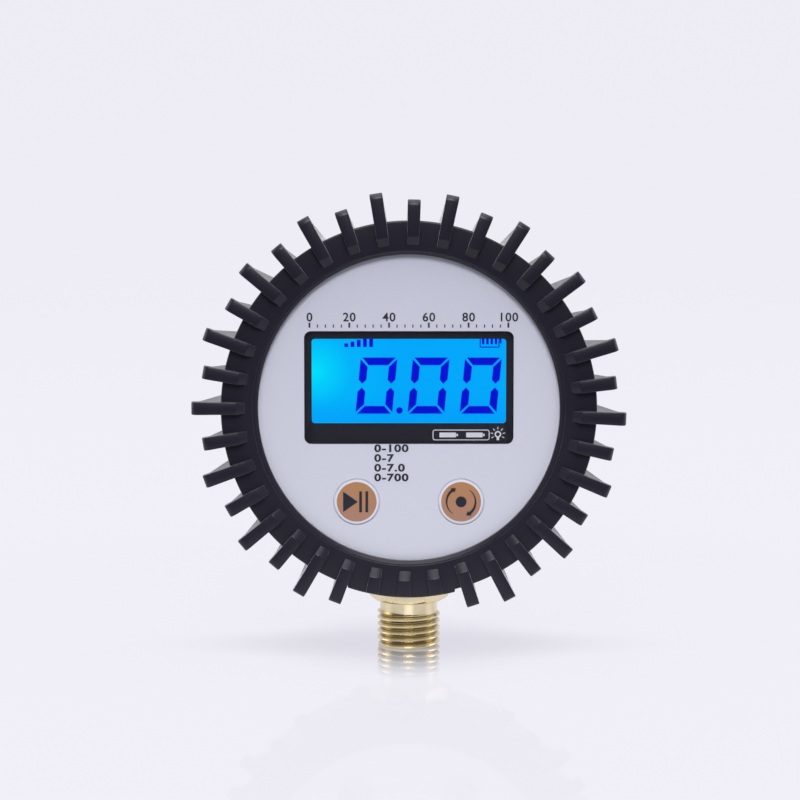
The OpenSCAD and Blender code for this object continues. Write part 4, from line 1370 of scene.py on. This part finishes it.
def sweep_paint():
    material, tree, surface, place = new_material(
        "acrylic_sheet_backlit_pale", Roughness=0.3, Base_Color=linear("#d4d3dc"))
    table = remap(tree, axis(tree, place, "Y"), (-0.18, -0.06), (0.05, 1.0), "SMOOTHSTEP")
    ground = number(tree, "MAXIMUM", table, seen_by_camera(tree))
    # Painted shade: the glow is dimmed in a wide thin patch round the foot, where the head's
    # shadow would fall.
    away = vector(tree, "LENGTH", vector(tree, "MULTIPLY", place, (0.32, 1, 1)))
    shade = remap(tree, away, (3 * MM, 20 * MM), (0.85, 1.0), "SMOOTHSTEP")
    glow = add_node(
        tree, "ShaderNodeEmission", {"Color": linear(pale)},
        {"Strength": number(tree, "MULTIPLY", ground, shade)})
    lit = add_node(
        tree, "ShaderNodeMixShader", {"Fac": 0.95},
        {1: surface.outputs["BSDF"], 2: glow.outputs["Emission"]})
    # Near the foot the mirror is made stronger than its sheen gives and greyer, which shows the
    # mirror image and also paints shade there.
    gloss = add_node(
        tree, "ShaderNodeBsdfGlossy", {"Roughness": 0.015, "Color": (0.85, 0.85, 0.88, 1)})
    from_foot = vector(tree, "LENGTH", place)
    foot_mirror_and_shade = remap(tree, from_foot, (8 * MM, 38 * MM), (2.4, 0.18), "SMOOTHSTEP")
    far_fade = remap(tree, from_foot, (130 * MM, 200 * MM), (1, 0), "SMOOTHSTEP")
    sheen = add_node(tree, "ShaderNodeFresnel", {"IOR": 1.5}).outputs["Fac"]
    fade = number(tree, "MULTIPLY", foot_mirror_and_shade, far_fade)
    paint = add_node(
        tree, "ShaderNodeMixShader", links={
            "Fac": number(tree, "MULTIPLY", sheen, fade),
            1: lit.outputs["Shader"],
            2: gloss.outputs["BSDF"],
        })
    tree.links.new(paint.outputs["Shader"], tree.nodes["Material Output"].inputs["Surface"])
    return material


# %% [markdown]
# ## The sweep's shape
# The sweep is a line from the front of the floor to the top of the wall, with a
# quarter of a circle between them, pushed out to its width.

# %% Floor and wall
sweep_half_w = 2.0
sweep_front = -1.6
sweep_back = 1.1
sweep_curve_r = 0.6
sweep_h = 2.2
sweep_steps = 16

bm = bmesh.new()
path = [(sweep_front, 0), (sweep_back, 0)]
for k in range(1, sweep_steps + 1):
    angle = math.radians(90 * k / sweep_steps)
    path.append((
        sweep_back + sweep_curve_r * math.sin(angle), sweep_curve_r * (1 - math.cos(angle))))
path.append((sweep_back + sweep_curve_r, sweep_h))
line_verts = [bm.verts.new((-sweep_half_w, y, z)) for y, z in path]
line_edges = [bm.edges.new(pair) for pair in zip(line_verts, line_verts[1:])]
far = bmesh.ops.extrude_edge_only(bm, edges=line_edges)["geom"]
bmesh.ops.translate(bm, vec=(2 * sweep_half_w, 0, 0), verts=verts_of(far))
mesh = take_mesh("sweep", bm)
mesh.shade_smooth()
mesh.materials.append(sweep_paint())
add_object("studio_sweep", mesh)

# %% [markdown]
# ## Light
# Soft boxes above, in front and at both sides light the gauge evenly, and the room
# behind the camera is dim, so the black frame and the window stay dark. The world
# gives a pale fill from behind and above, which the metal mirrors. Where the camera
# sees the world itself, it is as pale as the sweep.

# %% Lamps and world
lamp_aim = Vector((0, 0, 0.05))


def soft_box(name, place, size, watts):
    lamp = bpy.data.lights.new(name, "AREA")
    lamp.shape = "RECTANGLE"
    lamp.size, lamp.size_y = size
    lamp.energy = watts
    holder = add_object(name, lamp)
    holder.location = place
    holder.rotation_euler = (lamp_aim - Vector(place)).to_track_quat("-Z", "Y").to_euler()


soft_box("top_box", (0, -0.05, 0.95), (0.9, 0.9), 7)
soft_box("front_box", (0, -0.9, 0.8), (0.6, 0.5), 9.0)
soft_box("left_box", (-0.9, 0.1, 0.3), (0.5, 0.8), 2.4)
soft_box("right_box", (0.9, 0.1, 0.3), (0.5, 0.8), 2.4)

world = bpy.data.worlds.new("studio")
world.use_nodes = True
bpy.context.scene.world = world
tree = world.node_tree
background = tree.nodes["Background"]
background.inputs["Color"].default_value = linear(pale)
direction = add_node(tree, "ShaderNodeTexCoord").outputs["Generated"]
behind = remap(tree, axis(tree, direction, "Y"), (-0.6, 0.3), (0.24, 0.9), "SMOOTHSTEP")
seen = number(tree, "MULTIPLY", seen_by_camera(tree), 0.97)
feed(tree, background, {"Strength": number(tree, "MAXIMUM", behind, seen)})

# %% [markdown]
# ## Camera
# The picture is taken from half a metre away with a long lens, from six degrees
# above the face. The camera leans most of that way and its lens is shifted down for
# the rest, as for a catalogue picture, so a round face keeps nearly its full height.

# %% Camera
camera_lift = math.radians(6)
camera_tilt = math.radians(4.5)
camera_away = 498.75 * MM
camera_aim = Vector((-1.93 * MM, -rim_front, head_z + 1.95 * MM))
camera = bpy.data.cameras.new("camera")
camera.sensor_width = 36
camera.lens = 104.5
camera.shift_y = -math.tan(camera_lift - camera_tilt) * camera.lens / camera.sensor_width
camera.clip_start = 0.01
camera_holder = add_object("camera", camera)
camera_holder.location = camera_aim + Vector(
    (0, -camera_away, camera_away * math.tan(camera_lift)))
camera_holder.rotation_euler = (math.radians(90) - camera_tilt, 0, 0)
bpy.context.scene.camera = camera_holder
bpy.context.scene.view_settings.view_transform = "Standard"
